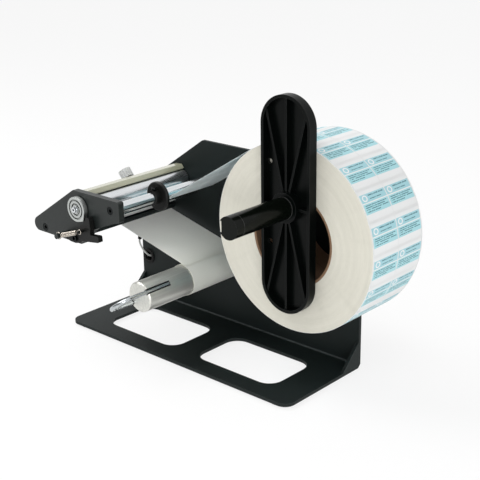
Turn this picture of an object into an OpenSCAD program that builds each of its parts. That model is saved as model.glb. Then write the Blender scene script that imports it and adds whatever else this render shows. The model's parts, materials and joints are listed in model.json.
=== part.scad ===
// Label peeling machine: a bent steel base with an upright panel, a peeling head of rods
// between two plates, a motor driven rewind mandrel and a spindle with the label roll.
// Bench coordinates: x from the base's left edge, y from its front edge, z from its underside.

/* [Base and panel] */
// Length of the base
base_l = 274; // [250:1:300]
// Depth from the base's front edge to the panel's face
base_d = 99; // [97:0.5:110]
// Thickness of the steel sheet
sheet_t = 3; // [2:0.5:4]
// Corner radius of the base
base_r = 10; // [4:1:14]
// Margin at the left and right of the cut-outs
cut_margin_x = 32; // [26:1:36]
// Web between the two cut-outs
cut_web = 26; // [16:1:34]
// Margin in front of the cut-outs
cut_margin_y = 18.5; // [16:0.5:24]
// Depth of the cut-outs
cut_d = 57; // [40:1:60]
// Corner radius of the cut-outs
cut_r = 14; // [6:1:18]
// Height of the panel
panel_h = 177.2; // [174:0.1:190]
// Where the panel's sloping edge meets its top
panel_slope_x = 89.5; // [80:0.5:100]
// Corner radius of the panel
panel_r = 4; // [1:0.5:6]
// Leg of the welded corner triangles
gusset_leg = 22; // [14:1:28]
// Height of the rubber feet
foot_h = 2; // [1:0.5:4]
// Diameter of the rubber feet
foot_d = 14; // [8:1:16]

/* [Peeling head] */
// How far the front plate stands out in front of the base
head_proud = 29.5; // [20:0.5:34]
// Thickness of the front plate
plate_t = 6; // [5:0.5:8]
// Height of the head's lower edge
head_floor = 102.9; // [102:0.1:104]
// Height of the front plate's upper edge
head_top = 151.7; // [151:0.1:156]
// How far the nose stands out at the left
nose_proud = 5.2; // [4:0.1:8]
// Radius of the nose
nose_r = 6.6; // [5:0.1:8]
// Where the front plate's slope meets its upper edge
head_slope_x = 54.1; // [50:0.1:56]
// Right edge of the front plate
head_right_x = 114; // [112:0.5:120]
// Diameter of the upper guide bar
bar_d = 10; // [8:0.5:11]
// Diameter of the lower guide rod
low_d = 8; // [7:0.5:9]
// Diameter of the rod behind the peeling edge
tip_d = 8; // [7:0.5:9]
// Diameter of the sensor's rod
sensor_rod_d = 6; // [5:0.5:6.5]
// Diameter of the pressure roller
roller_d = 16; // [12:0.5:16.4]
// Diameter of the roller's shaft
roller_shaft_d = 6; // [5:0.5:7]
// Diameter of the roller's end disc
disc_d = 22.5; // [18:0.5:24]
// Thickness of the roller's end disc
disc_t = 4.5; // [3.5:0.5:6]
// Thickness of the peeling sheet
peel_t = 2; // [1.5:0.1:2.5]

/* [Web and roll] */
// Width of the web
web_w = 66; // [40:1:66]
// Room between the web and the panel
web_margin = 3.8; // [3:0.1:6]
// Thickness drawn for the web
web_t = 0.25; // [0.2:0.05:0.4]
// Outer diameter of the label roll
roll_d = 158.6; // [110:1:164]
// Width of the roll
roll_w = 67.2; // [60:0.2:67.4]
// Bore of the cardboard core
core_bore = 76; // [70:1:78]
// Wall of the cardboard core
core_wall = 2.3; // [1.5:0.1:4]

/* [Spindle and flange] */
// Place of the spindle along the base
spindle_x = 255.8; // [252:0.1:258]
// Height of the spindle
spindle_z = 164; // [160:0.5:166]
// Diameter of the spindle tube
spindle_d = 18.5; // [16:0.5:22]
// How far the spindle's free end stands out in front of the base
spindle_proud = 46.3; // [35:0.1:55]
// Length of the retaining flange
flange_l = 180; // [140:1:190]
// Width of the retaining flange
flange_w = 49.4; // [44:0.1:56]
// Depth of the flange's rim
flange_t = 8.4; // [6:0.1:10]
// Thickness of the flange's ribs
rib_t = 1.8; // [1.2:0.1:2.6]

/* [Rewind drive] */
// Place of the mandrel along the base
mandrel_x = 128.5; // [126:0.5:132]
// Height of the mandrel
mandrel_z = 67.6; // [62:0.5:72]
// Diameter of the mandrel
mandrel_d = 27.5; // [24:0.5:30]
// How far the mandrel's free end stands out in front of the base
mandrel_proud = 24; // [10:1:28]
// Diameter of the clip's wire
clip_d = 3.8; // [3:0.1:4.2]
// Depth of the rear cover
cover_d = 44; // [42:0.5:50]
// Teeth of the rewind gear
gear_teeth = 40; // [36:1:44]
// Teeth of the motor's pinion
pinion_teeth = 15; // [13:2:17]

/* [Hidden] */
$fn = 64;
// Clearances and the overrun of every cut
fit = 0.05;
slide_fit = 0.08;
gap = 0.3;
over = 1;
// What a blind hole leaves at its end
blind_end = 1;

// Stations across the machine, seen from the front edge
panel_y = base_d;
back_y = base_d + sheet_t;
head_y = -head_proud;
inner_y = head_y + plate_t;
span = panel_y - inner_y;
web_y = panel_y - web_margin - web_w;

// Places of the rods in the head
tip_x = 10.7;
tip_z = 107.9;
low_x = 77.4;
low_z = 126.9;
bar_x = 102.7;
bar_z = 142.1;
roller_x = 62.5;
roller_z = 136.6;
sensor_rod_x = 45.2;
sensor_rod_z = 139;
edge_x = 0.2;
edge_z = 113.9;
peel_rear_x = 64;
rods = [[tip_x, tip_z, tip_d], [low_x, low_z, low_d], [bar_x, bar_z, bar_d]];

// Corners of the front plate's lower edge
heel_x = 62.5;
knee_x = 79.5;
knee_z = 120;
calf_x = 105.4;
calf_z = 131;
toe_z = 133.3;
head_corner_r = 2.5;

// Screws of the head
screw_d = 4;
screw_head_d = 7;
screw_head_h = 2.4;
screw_bite = 9;
socket_d = 3.4;
socket_depth = 1.5;

// Roller's bushes, disc and its screw
bush_wall = 2;
bush_d = roller_shaft_d + 2 * fit + 2 * bush_wall;
bush_flange = 1.6;
bush_flange_t = 1.6;
disc_gap = 0.5;
disc_y = head_y - disc_gap - disc_t;
disc_corner = 13.2;
disc_corner_angle = -45;
disc_groove = 1.1;
disc_groove_shares = [0.382, 0.689];
disc_groove_w = 1.2;
washer_d = 6.6;
washer_t = 0.8;
disc_screw_d = 3;
disc_screw_head = 5;
disc_screw_h = 1.8;
shaft_tail = 3;
roller_end_gap = 0.5;

// Section of the cream bar above the roller, in shares of the roller's radius
strip_shares = [[-1.1375, 1.57], [-0.15, 1.64], [0.2, 1.2], [0.13, 1.09], [-1.025, 1]];
strip_r = 0.4;

// Peeling sheet, its notch for the sensor's lead and the bar that holds the liner down
notch_x = 27.5;
notch_w = 7;
notch_d = 3.4;
guide_x = 45.2;
guide_w = 4;
guide_h = 4.6;

// Edge guide on the upper bar
guide_disc_d = 26.5;
guide_disc_t = 3;
guide_disc_chamfer = 0.8;
guide_hub_d = 13.4;
guide_hub_l = 6;
guide_web_gap = 0.5;
guide_y = web_y - guide_web_gap;
guide_screw_d = 3;
guide_screw_head = 4.6;
guide_screw_h = 1.5;

// Sensor, its knob and its lead
sensor_at = 17.8;
sensor_y = web_y + sensor_at;
sensor_w = 14;
sensor_y0 = sensor_y - sensor_w / 2;
sensor_head_x0 = 20;
sensor_head_x1 = 33;
sensor_head_h = 5;
sensor_head_r = 1;
sensor_air = 1.5;
clamp_d = 11;
clamp_tilt = 38;
clamp_arm = 2;
lens_d = 4;
lens_h = 0.8;
lens_step = 5;
knob_d = 12;
knob_h = 8.5;
knob_lift = 0.4;
knob_stem_d = 4;
knob_flutes = 12;
knob_flute_d = 1.6;
cable_d = 1.8;
cable_sides = 8;
hole_x = 9;
hole_z = 43;
hole_d = 13;
grommet_d = 15.2;
grommet_bore = 10;
grommet_lip = 1.4;
sleeve_d = 4;
sleeve_l = 6;
sleeve_bore = 2.1;
sleeve_at_share = 0.5;
// Route of the sensor's lead, held at both ends: along, out from the panel and up
cable_route = [
    [36, 45, 132], [36, 41, 132], [36, 33, 131.8], [36, 23, 131.2], [36, 14, 130.2], [35.8, 7.5, 128.9],
    [34.6, 3, 126.6], [32.4, 1.6, 121.8], [29.6, 1.7, 115], [26, 1.8, 106], [20.6, 2.8, 95], [14, 4.5, 84.4],
    [8.4, 5.8, 75.6], [5.5, 6.6, 69], [3, 7, 61], [4.2, 7, 56], [7.4, 6.4, 51], [10.4, 4.6, 47],
    [11.6, 2, 44.4], [11.8, -1.5, 43.8], [11.9, -5, 43.8], [12.6, -8, 44], [14.6, -10, 44.4],
    [17, -11.8, 45]
];
cable_path = [for (p = cable_route) [p.x, panel_y - p.y, p.z]];
// The sleeve sits between these two points of the route
sleeve_from = cable_path[13];
sleeve_to = cable_path[14];

// Release lever, its post, pivot and spring
lever_t = 5;
lever_gap = 1;
lever_x = 60.6;
lever_z = 110;
lever_pivot_d = 4;
lever_pivot_head = 6;
lever_pivot_h = 1.4;
lever_y = head_y - lever_gap - lever_t;
lever_reach = 32;
// Outline of the lever from its pivot, in shares of its reach: along, up and the corner's radius
lever_shares = [
    [-0.4, -0.081, 0.025], [-0.206, -0.138, 0.062], [0.019, -0.144, 0.094], [0.209, -0.094, 0.062],
    [0.319, -0.025, 0.047], [0.588, 0.013, 0.062], [0.997, 0.072, 0.044], [0.975, 0.25, 0.044],
    [0.634, 0.216, 0.031], [0.669, 0.413, 0.062], [0.637, 0.694, 0.05], [0.512, 0.706, 0.037],
    [0.472, 0.603, 0.047], [0.375, 0.487, 0.062], [0.256, 0.4, 0.062], [0.187, 0.269, 0.062],
    [0.122, 0.131, 0.047], [-0.113, 0.112, 0.094]
];
stud_x = 71.9;
stud_z = 119;
stud_d = 2.4;
stud_l = 6.4;
post_x = 42.2;
post_z = 109.1;
post_d = 5;
post_l = 13;
spring_y = -39.4;
spring_d = 4.6;
spring_wire = 0.75;
spring_curls = 16;
spring_lead = 3;
spring_sides = 6;
spring_rings = 8;

// Roll, collar, cap and screw of the spindle
hang = gap;
roll_y = web_y + web_w / 2 - roll_w / 2;
roll_x = spindle_x;
roll_z = spindle_z - core_bore / 2 + spindle_d / 2 + hang;
collar_d = 30;
spindle_bore = 12;
spindle_floor = 12;
cap_l = 8.5;
cap_floor = 2.4;
cap_plug = 6;
cap_notch_in = 2.6;
cap_notch_l = 3.2;
cap_notch_h = 9.2;
stop_groove_w = 0.8;
stop_groove = 0.5;
spindle_screw_d = 6;
spindle_screw_bite = 10;
spindle_washer_d = 18;
spindle_washer_t = 1.5;
spindle_head_d = 10;
spindle_head_h = 5;

// Retaining flange
flange_gap = 0.4;
flange_y1 = roll_y - flange_gap;
flange_y0 = flange_y1 - flange_t;
flange_floor = 2.4;
flange_rim = 2.6;
flange_hub_d = 25;
flange_hub_proud = 1.6;
flange_hole_d = 4.4;
flange_hole_x = 20;
flange_hole_z = 33.5;
flange_star_share = 0.93;
rib_set = 1;

// Rewind mandrel, its clip, shaft and bearing
mandrel_y = -mandrel_proud;
mandrel_gap = 0.5;
mandrel_chamfer = 1.2;
clip_angle = 37.5;
clip_sink = 0.2;
clip_play = 0.5;
clip_r = mandrel_d / 2 - clip_sink - clip_d / 2;
clip_bend_y = 17.3;
clip_tail = 26.5;
liner_wall = 0.8;
shaft_d = 8;
shaft_bite = 40;
bearing_d = 14;
bearing_flange_d = 18;
bearing_flange_t = 1.6;
gear_module = 1;
gear_w = 5;
gear_gap = 0.7;
gear_hub_d = 14;
gear_hub_l = 3;
gear_play = 0.16;
pinion_x = mandrel_x + gear_module * (gear_teeth + pinion_teeth) / 2 + gear_play / 2;
pinion_z = mandrel_z;
pinion_shaft_d = 5;
gear_y = back_y + bearing_flange_t + gear_gap;

// Gearmotor and its bracket
bracket_t = 2;
bracket_y = gear_y + gear_w + gear_hub_l + gap;
bracket_x0 = 9;
bracket_x1 = 27;
bracket_h = 27;
bracket_leg_d = 7;
bracket_leg_inset = 5;
gearbox_w = 34;
gearbox_h = 36;
gearbox_t = 12;
gearbox_r = 3;
gearbox_y = bracket_y + bracket_t;
motor_d = 27;
motor_l = 14;
motor_cap_d = 10;
motor_cap_l = 2;
motor_tab_w = 3;
motor_tab_l = 3;
motor_tab_t = 0.6;
motor_tab_step = 14;

// Rear cover, its standoffs and controls
cover_t = 1.2;
cover_x0 = 0;
cover_x1 = 242;
cover_z0 = 17;
cover_z1 = 98;
cover_post_d = 7;
cover_post_inset = 8;
cover_screw_d = 3;
cover_screw_head = 5.6;
cover_screw_h = 1.8;
cover_screw_bite = 8;
cover_y = back_y + cover_d;
board_x = 17;
board_z = 26;
board_w = 62;
board_h = 46;
board_t = 1.6;
board_lift = 8;
board_y = back_y + board_lift;
board_post_d = 5;
board_post_inset = 4;
vent_count = 9;
vent_w = 3;
vent_h = 26;
vent_step = 9;
vent_x = 128;
vent_z = 56;
control_z = 77;
pot_inset = 22;
pot_x = cover_x1 - pot_inset;
switch_step = 26;
switch_x = pot_x - switch_step;
inlet_step = 12;
inlet_x = pot_x - inlet_step;
inlet_z = 42;
inlet_w = 9;
inlet_h = 11;
inlet_l = 14;
inlet_flange = 1.6;
inlet_flange_t = 1.5;
inlet_bore = 5.5;
inlet_depth = 9;
inlet_pin_d = 2.1;
switch_w = 14;
switch_h = 20;
switch_l = 16;
switch_lip = 1.5;
switch_lip_t = 1.6;
rocker_gap = 0.4;
rocker_wall = 1.5;
rocker_d = 9;
rocker_proud = 2.4;
rocker_half = 6.6;
rocker_step = 1.4;
rocker_angle = 9;
rocker_axle_d = 1.6;
rocker_axle_l = 1;
rocker_y = cover_y - rocker_gap;
rocker_x0 = switch_x - switch_w / 2 + rocker_wall;
rocker_x1 = switch_x + switch_w / 2 - rocker_wall;
pot_d = 16.5;
pot_l = 9;
pot_bush_d = 7;
pot_bush_l = 6;
pot_nut_d = 10;
pot_nut_t = 2;
pot_shaft_d = 4;
pot_gap = 0.4;
dial_d = 19;
dial_h = 12;
dial_flutes = 18;
dial_flute_d = 1.5;
dial_gap = 0.6;
dial_y = cover_y - cover_t + pot_bush_l + dial_gap;
dial_y0 = cover_y + pot_nut_t + dial_gap;

// Origin: middle of the machine's box, at the underside of the feet
x_lo = -nose_proud;
x_hi = roll_x + roll_d / 2;
y_lo = mandrel_y - clip_bend_y - clip_r - clip_d / 2;
y_hi = dial_y0 + dial_h;
ox = -(x_lo + x_hi) / 2;
oy = -(y_lo + y_hi) / 2;
oz = foot_h;

// Outline with rounded corners: each corner is [x, z, radius]
function unit(v) = v / norm(v);
function flat(lists) = [for (list = lists) each list];
function corner_arc(a, b, c, r, n) = r <= 0 ? [b] : let(
    u = unit(a - b), v = unit(c - b), half = acos(u * v) / 2,
    centre = b + unit(u + v) * r / sin(half),
    p = b + u * r / tan(half) - centre, q = b + v * r / tan(half) - centre,
    a0 = atan2(p.y, p.x), turn = atan2(p.x * q.y - p.y * q.x, p * q)
) [for (i = [0:n]) centre + r * [cos(a0 + turn * i / n), sin(a0 + turn * i / n)]];
function soft(corners, n = 8) = let(m = len(corners)) flat([for (i = [0:m - 1]) let(
    a = corners[(i + m - 1) % m], b = corners[i], c = corners[(i + 1) % m]
) corner_arc([a.x, a.y], [b.x, b.y], [c.x, c.y], b.z, n)]);

// Sharp corner of the nose for a slope that ends in the point p
function nose_corner(p) = let(
    c = [nose_r - nose_proud, head_floor + nose_r], v = p - c,
    slope = atan2(v.y, v.x) - asin(nose_r / norm(v))
) [p.x - (p.y - head_floor) / tan(slope), head_floor, nose_r];

// Belt over circles [x, z, signed radius]: a circle at the left of the way has a positive radius
function heading(a, b) = let(v = [b.x - a.x, b.y - a.y])
    atan2(v.y, v.x) - asin((b.z - a.z) / norm(v));
function wrap(angle) = angle - 360 * round(angle / 360);
function on_circle(c, angle, shift) = [c.x, c.y] + (c.z - shift) * [sin(angle), -cos(angle)];
function belt_arc(cs, i, shift, n) = let(
    a0 = i > 0 ? heading(cs[i - 1], cs[i]) : heading(cs[i], cs[i + 1]),
    a1 = i < len(cs) - 1 ? heading(cs[i], cs[i + 1]) : a0, turn = wrap(a1 - a0)
) [for (k = [0:n]) on_circle(cs[i], a0 + turn * k / n, shift)];
function belt_edge(cs, first, last, shift, n = 10) = flat([for (i = [first:last]) let(
    arc = belt_arc(cs, i, shift, n)
) i == first && i > 0 ? arc : i == first ? [arc[n]] : i == last ? [arc[0]] : arc]);
function ribbon(cs, first, last, t) = let(
    left = belt_edge(cs, first, last, t / 2), right = belt_edge(cs, first, last, -t / 2), m = len(right)
) concat(left, [for (i = [0:m - 1]) right[m - 1 - i]]);

// Circles that guide the web from the roll to the mandrel
web_off = gap + web_t / 2;
peel_r = peel_t / 2;
liner_r = mandrel_d / 2 + fit + liner_wall;
web_circles = [
    [roll_x, roll_z, roll_d / 2 + web_off],
    [bar_x, bar_z, -bar_d / 2 - web_off],
    [low_x, low_z, low_d / 2 + web_off],
    [roller_x, roller_z, -roller_d / 2 - web_off],
    [edge_x, edge_z, peel_r + web_off],
    [tip_x, tip_z, -tip_d / 2 - web_off],
    [mandrel_x, mandrel_z, -liner_r - web_off]
];
nose_at = 4;
peel_angle = heading(web_circles[3], web_circles[4]) - 180;
liner_angle = heading(web_circles[5], web_circles[6]);
function peel_line(x) = edge_z + (x - edge_x) * tan(peel_angle);
function liner_line(x) = let(c = web_circles[5], p = on_circle(c, liner_angle, 0))
    p.y + (x - p.x) * tan(liner_angle);

// Placing in bench coordinates
module bench() translate([ox, oy, oz]) children();
module slab_y(y, t) bench() translate([0, y + t, 0]) rotate([90, 0, 0]) linear_extrude(t) children();
module rod_y(x, z, y0, y1, d) bench() translate([x, y0, z]) rotate([-90, 0, 0]) cylinder(h = y1 - y0, d = d);
module tube_y(x, z, y0, y1, d, bore) difference() {
    rod_y(x, z, y0, y1, d);
    rod_y(x, z, y0 - over, y1 + over, bore);
}
module cone_y(x, z, y0, y1, d0, d1)
    bench() translate([x, y0, z]) rotate([-90, 0, 0]) cylinder(h = y1 - y0, d1 = d0, d2 = d1);
module box(x0, x1, y0, y1, z0, z1) bench() translate([x0, y0, z0]) cube([x1 - x0, y1 - y0, z1 - z0]);
module hex_y(x, z, y0, y1, d)
    bench() translate([x, y0, z]) rotate([-90, 0, 0]) cylinder(h = y1 - y0, d = d, $fn = 6);

// Screw along y with its head at y0 and its shank towards dir
module screw_y(x, z, y0, dir, d, l, head_d, head_h, socket, depth) difference() {
    union() {
        rod_y(x, z, min(y0, y0 + dir * head_h), max(y0, y0 + dir * head_h), head_d);
        rod_y(x, z, min(y0, y0 + dir * (head_h + l)), max(y0, y0 + dir * (head_h + l)), d);
    }
    hex_y(x, z, min(y0 - dir * over, y0 + dir * depth), max(y0 - dir * over, y0 + dir * depth), socket);
}

// Smooth tube through points, as one mesh
function sweep_points(path, r, sides) = let(m = len(path)) flat([for (i = [0:m - 1]) let(
    t = unit(path[min(i + 1, m - 1)] - path[max(i - 1, 0)]),
    side = abs(t.z) < 0.9 ? unit(cross(t, [0, 0, 1])) : unit(cross(t, [0, 1, 0])), up = cross(side, t)
) [for (k = [0:sides - 1]) path[i] + r * (cos(360 * k / sides) * side + sin(360 * k / sides) * up)]]);
function sweep_faces(m, sides) = concat(
    [for (k = [1:sides - 2]) [0, k, k + 1]],
    flat([for (i = [0:m - 2], k = [0:sides - 1]) let(
        a = i * sides + k, b = i * sides + (k + 1) % sides, c = a + sides, d = b + sides
    ) [[a, c, b], [b, c, d]]]),
    let(last = m * sides - 1) [for (k = [1:sides - 2]) [last, last - k, last - k - 1]]
);
module sweep(path, r, sides) bench()
    polyhedron(sweep_points(path, r, sides), sweep_faces(len(path), sides));
// Path with rings added between the points, on a smooth curve through them
function smooth_at(p, i, t) = let(
    m = len(p) - 1, a = p[max(i - 1, 0)], b = p[i], c = p[min(i + 1, m)], d = p[min(i + 2, m)]
) 0.5 * ((2 * b) + (c - a) * t + (2 * a - 5 * b + 4 * c - d) * t * t + (3 * b - a - 3 * c + d) * t * t * t);
function smooth(p, n) = concat(flat([for (i = [0:len(p) - 2]) [for (k = [0:n - 1]) smooth_at(p, i, k / n)]]),
    [p[len(p) - 1]]);

module panel_outline() {
    top = [panel_slope_x, panel_h];
    polygon(soft([
        [0, 0, 0], [base_l, 0, 0], [base_l, panel_h, panel_r], [top.x, top.y, panel_r],
        nose_corner(top), [0, head_floor, 0]
    ]));
}

module main_frame() color("#262a2a") difference() {
    union() {
        bench() linear_extrude(sheet_t) difference() {
            polygon(soft([
                [0, 0, base_r], [base_l, 0, base_r], [base_l, back_y, 0], [0, back_y, 0]
            ]));
            cut_w = (base_l - 2 * cut_margin_x - cut_web) / 2;
            for (i = [0, 1]) translate([cut_margin_x + i * (cut_w + cut_web), cut_margin_y])
                polygon(soft([
                    [0, 0, cut_r], [cut_w, 0, cut_r], [cut_w, cut_d, cut_r], [0, cut_d, cut_r]
                ]));
        }
        slab_y(panel_y, sheet_t) panel_outline();
    }
    for (r = rods) rod_y(r.x, r.y, panel_y - over, back_y + over, screw_d + 2 * fit);
    rod_y(sensor_rod_x, sensor_rod_z, panel_y - over, back_y + over, screw_d + 2 * fit);
    rod_y(roller_x, roller_z, panel_y - over, back_y + over, bush_d + 2 * fit);
    rod_y(spindle_x, spindle_z, panel_y - over, back_y + over, spindle_screw_d + 2 * fit);
    rod_y(mandrel_x, mandrel_z, panel_y - over, back_y + over, bearing_d + 2 * fit);
    rod_y(hole_x, hole_z, panel_y - over, back_y + over, hole_d);
}

module corner_gussets() color("#303434") for (x = [0, base_l - sheet_t])
    bench() translate([x, panel_y, sheet_t]) rotate([90, 0, 90]) linear_extrude(sheet_t)
        polygon([[0, 0], [0, gusset_leg], [-gusset_leg, 0]]);

module rubber_feet() color("#151515") for (x = [cut_margin_x / 2, base_l - cut_margin_x / 2])
    for (y = [cut_margin_y / 2, panel_y - (base_d - cut_margin_y - cut_d) / 2])
        bench() translate([x, y, -foot_h]) cylinder(h = foot_h, d = foot_d);

module front_plate() color("#3b403f") difference() {
    top = [head_slope_x, head_top];
    slab_y(head_y, plate_t) polygon(soft([
        nose_corner(top), [heel_x, head_floor, head_corner_r * 2], [knee_x, knee_z, head_corner_r * 6],
        [calf_x, calf_z, head_corner_r * 6], [head_right_x, toe_z, head_corner_r],
        [head_right_x, head_top, head_corner_r], [top.x, top.y, head_corner_r]
    ]));
    for (r = rods) {
        rod_y(r.x, r.y, head_y - over, inner_y + over, screw_d + 2 * fit);
        rod_y(r.x, r.y, head_y - over, head_y + screw_head_h + gap, screw_head_d + 2 * gap);
    }
    rod_y(sensor_rod_x, sensor_rod_z, inner_y - screw_bite / 3, inner_y + over, sensor_rod_d + 2 * fit);
    rod_y(roller_x, roller_z, head_y - over, inner_y + over, bush_d + 2 * fit);
    rod_y(lever_x, lever_z, head_y - over, inner_y - blind_end, lever_pivot_d + 2 * fit);
    rod_y(post_x, post_z, head_y - over, inner_y - blind_end, post_d / 2 + 2 * fit);
}

// Rod between the plates with a tapped hole in each end
module tapped_rod(x, z, d, both = true) difference() {
    rod_y(x, z, inner_y, panel_y, d);
    if (both) rod_y(x, z, inner_y - over, inner_y + screw_bite + over, screw_d + 2 * fit);
    rod_y(x, z, panel_y - screw_bite - over, panel_y + over, screw_d + 2 * fit);
}
module upper_guide_bar() color("#dfe3e4") tapped_rod(bar_x, bar_z, bar_d);
module lower_guide_rod() color("#d4d8da") tapped_rod(low_x, low_z, low_d);
module tip_rod() color("#c9cdd0") tapped_rod(tip_x, tip_z, tip_d);
module sensor_rod() color("#c9cdd0") difference() {
    rod_y(sensor_rod_x, sensor_rod_z, inner_y - screw_bite / 3, panel_y, sensor_rod_d);
    rod_y(sensor_rod_x, sensor_rod_z, panel_y - screw_bite - over, panel_y + over, screw_d + 2 * fit);
}
module plate_screws() color("#8d9294") for (r = rods)
    screw_y(r.x, r.y, head_y + gap, 1, screw_d, plate_t - gap - screw_head_h + screw_bite,
        screw_head_d, screw_head_h, socket_d, socket_depth);
module panel_screws() color("#8d9294")
    for (r = concat(rods, [[sensor_rod_x, sensor_rod_z, sensor_rod_d]]))
        screw_y(r.x, r.y, back_y + screw_head_h, -1, screw_d, sheet_t + screw_bite,
            screw_head_d, screw_head_h, socket_d, socket_depth);

module roller_bushes() color("#b8894a") {
    tube_y(roller_x, roller_z, head_y, inner_y, bush_d, roller_shaft_d + 2 * fit);
    difference() {
        union() {
            rod_y(roller_x, roller_z, panel_y, back_y + bush_flange_t, bush_d);
            rod_y(roller_x, roller_z, back_y, back_y + bush_flange_t, bush_d + 2 * bush_flange);
        }
        rod_y(roller_x, roller_z, panel_y - over, back_y + bush_flange_t + over, roller_shaft_d + 2 * fit);
    }
}

module stripper_bar() color("#d9d6bd") slab_y(inner_y, span)
    polygon(soft([for (p = strip_shares) [
        roller_x + p.x * roller_d / 2, roller_z + p.y * roller_d / 2, strip_r
    ]], 5));

// The sheet lies below the web's straight run, with a round nose as its peeling edge
module peel_plate() color("#2b2f2e") difference() {
    slab_y(inner_y, span) union() {
        translate([edge_x, edge_z]) circle(d = peel_t);
        translate([edge_x, edge_z]) rotate(peel_angle)
            translate([0, -peel_r]) square([(peel_rear_x - edge_x) / cos(peel_angle), peel_t]);
    }
    box(notch_x, notch_x + notch_w, panel_y - notch_d, panel_y + over,
        peel_line(notch_x) - peel_t, peel_line(notch_x + notch_w) + peel_t);
}

module liner_guide() color("#1c1f1f") slab_y(inner_y, span)
    translate([guide_x, liner_line(guide_x) + web_off]) rotate(liner_angle) square([guide_w, guide_h]);

module label_web() color("#dfe9ea") slab_y(web_y, web_w) polygon(ribbon(web_circles, 0, nose_at, web_t));
module liner_strip() color("#d8d8d2") slab_y(web_y, web_w) polygon(ribbon(web_circles, nose_at, 6, web_t));

module spindle_tube() color("#1d2021") difference() {
    rod_y(spindle_x, spindle_z, -spindle_proud + cap_floor, panel_y, spindle_d);
    rod_y(spindle_x, spindle_z, -spindle_proud - over, panel_y - spindle_floor, spindle_bore);
    rod_y(spindle_x, spindle_z, panel_y - spindle_screw_bite - over, panel_y + over,
        spindle_screw_d + 2 * fit);
    rod_y(spindle_x, spindle_z, -spindle_proud - over, cap_l - spindle_proud, spindle_d + over);
    stop_y = flange_y0 - flange_hub_proud - gap;
    difference() {
        rod_y(spindle_x, spindle_z, stop_y - stop_groove_w, stop_y, spindle_d + over);
        rod_y(spindle_x, spindle_z, stop_y - stop_groove_w - over, stop_y + over,
            spindle_d - 2 * stop_groove);
    }
}
module spindle_cap() color("#2c3031") difference() {
    union() {
        rod_y(spindle_x, spindle_z, -spindle_proud, cap_l - spindle_proud, spindle_d);
        rod_y(spindle_x, spindle_z, -spindle_proud, cap_l - spindle_proud + cap_plug, spindle_bore - 2 * fit);
    }
    box(spindle_x - spindle_d, spindle_x - spindle_d / 2 + cap_notch_in, -spindle_proud - over,
        cap_notch_l - spindle_proud, spindle_z - cap_notch_h / 2, spindle_z + cap_notch_h / 2);
}
module spindle_collar() color("#26292a")
    tube_y(spindle_x, spindle_z, roll_y + roll_w + gap, panel_y, collar_d, spindle_d + 2 * fit);
module spindle_screw() color("#9a9ea0") {
    tube_y(spindle_x, spindle_z, back_y, back_y + spindle_washer_t, spindle_washer_d,
        spindle_screw_d + 2 * fit);
    screw_y(spindle_x, spindle_z, back_y + spindle_washer_t + spindle_head_h, -1, spindle_screw_d,
        spindle_washer_t + sheet_t + spindle_screw_bite, spindle_head_d, spindle_head_h, socket_d * 1.4,
        socket_depth * 2);
}

module cable_grommet() color("#181a1a") difference() {
    union() {
        rod_y(hole_x, hole_z, panel_y - grommet_lip, back_y + grommet_lip, hole_d - 2 * fit);
        rod_y(hole_x, hole_z, panel_y - grommet_lip, panel_y, grommet_d);
        rod_y(hole_x, hole_z, back_y, back_y + grommet_lip, grommet_d);
    }
    rod_y(hole_x, hole_z, panel_y - grommet_lip - over, back_y + grommet_lip + over, grommet_bore);
}
module cable_sleeve() color("#1a1a1a") {
    way = unit(sleeve_to - sleeve_from);
    bench() translate(sleeve_from + (sleeve_to - sleeve_from) * sleeve_at_share - way * sleeve_l / 2)
        rotate([0, acos(way.z), atan2(way.y, way.x)]) difference() {
            cylinder(h = sleeve_l, d = sleeve_d);
            translate([0, 0, -over]) cylinder(h = sleeve_l + 2 * over, d = sleeve_bore);
        }
}
module sensor_cable() color("#c8c9c7") sweep(smooth(cable_path, 2), cable_d / 2, cable_sides);

module spring_post() color("#1c1e1e") {
    rod_y(post_x, post_z, head_y - post_l, head_y, post_d);
    rod_y(post_x, post_z, head_y, inner_y - blind_end - gap, post_d / 2);
}
module pivot_screw() color("#a9adaf") {
    head_back = head_y - lever_gap - lever_t - gap;
    screw_y(lever_x, lever_z, head_back - lever_pivot_h, 1, lever_pivot_d,
        lever_t + lever_gap + plate_t - blind_end, lever_pivot_head, lever_pivot_h, socket_d, socket_depth);
    tube_y(lever_x, lever_z, head_y - lever_gap + gap, head_y, lever_pivot_head, lever_pivot_d + 2 * fit);
}

module pressure_roller() color("#e3e6e8")
    tube_y(roller_x, roller_z, inner_y + roller_end_gap, panel_y - roller_end_gap, roller_d,
        roller_shaft_d + 2 * fit);
module roller_shaft() color("#b9bdc0") difference() {
    rod_y(roller_x, roller_z, disc_y, back_y + bush_flange_t + shaft_tail, roller_shaft_d);
    rod_y(roller_x, roller_z, disc_y - over, disc_y + screw_bite, disc_screw_d + 2 * fit);
}
module roller_disc() color("#d7dadb") difference() {
    slab_y(disc_y, disc_t) translate([roller_x, roller_z]) union() {
        circle(d = disc_d);
        tangent = acos(disc_d / 2 / disc_corner);
        rotate(disc_corner_angle) polygon([
            [0, 0], disc_d / 2 * [cos(tangent), -sin(tangent)], [disc_corner, 0],
            disc_d / 2 * [cos(tangent), sin(tangent)]
        ]);
    }
    for (share = disc_groove_shares) difference() {
        rod_y(roller_x, roller_z, disc_y - over, disc_y + disc_groove, share * disc_d + 2 * disc_groove_w);
        rod_y(roller_x, roller_z, disc_y - 2 * over, disc_y + disc_groove + over, share * disc_d);
    }
    rod_y(roller_x, roller_z, disc_y - over, disc_y + disc_t + over, roller_shaft_d + 2 * fit);
}
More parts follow.
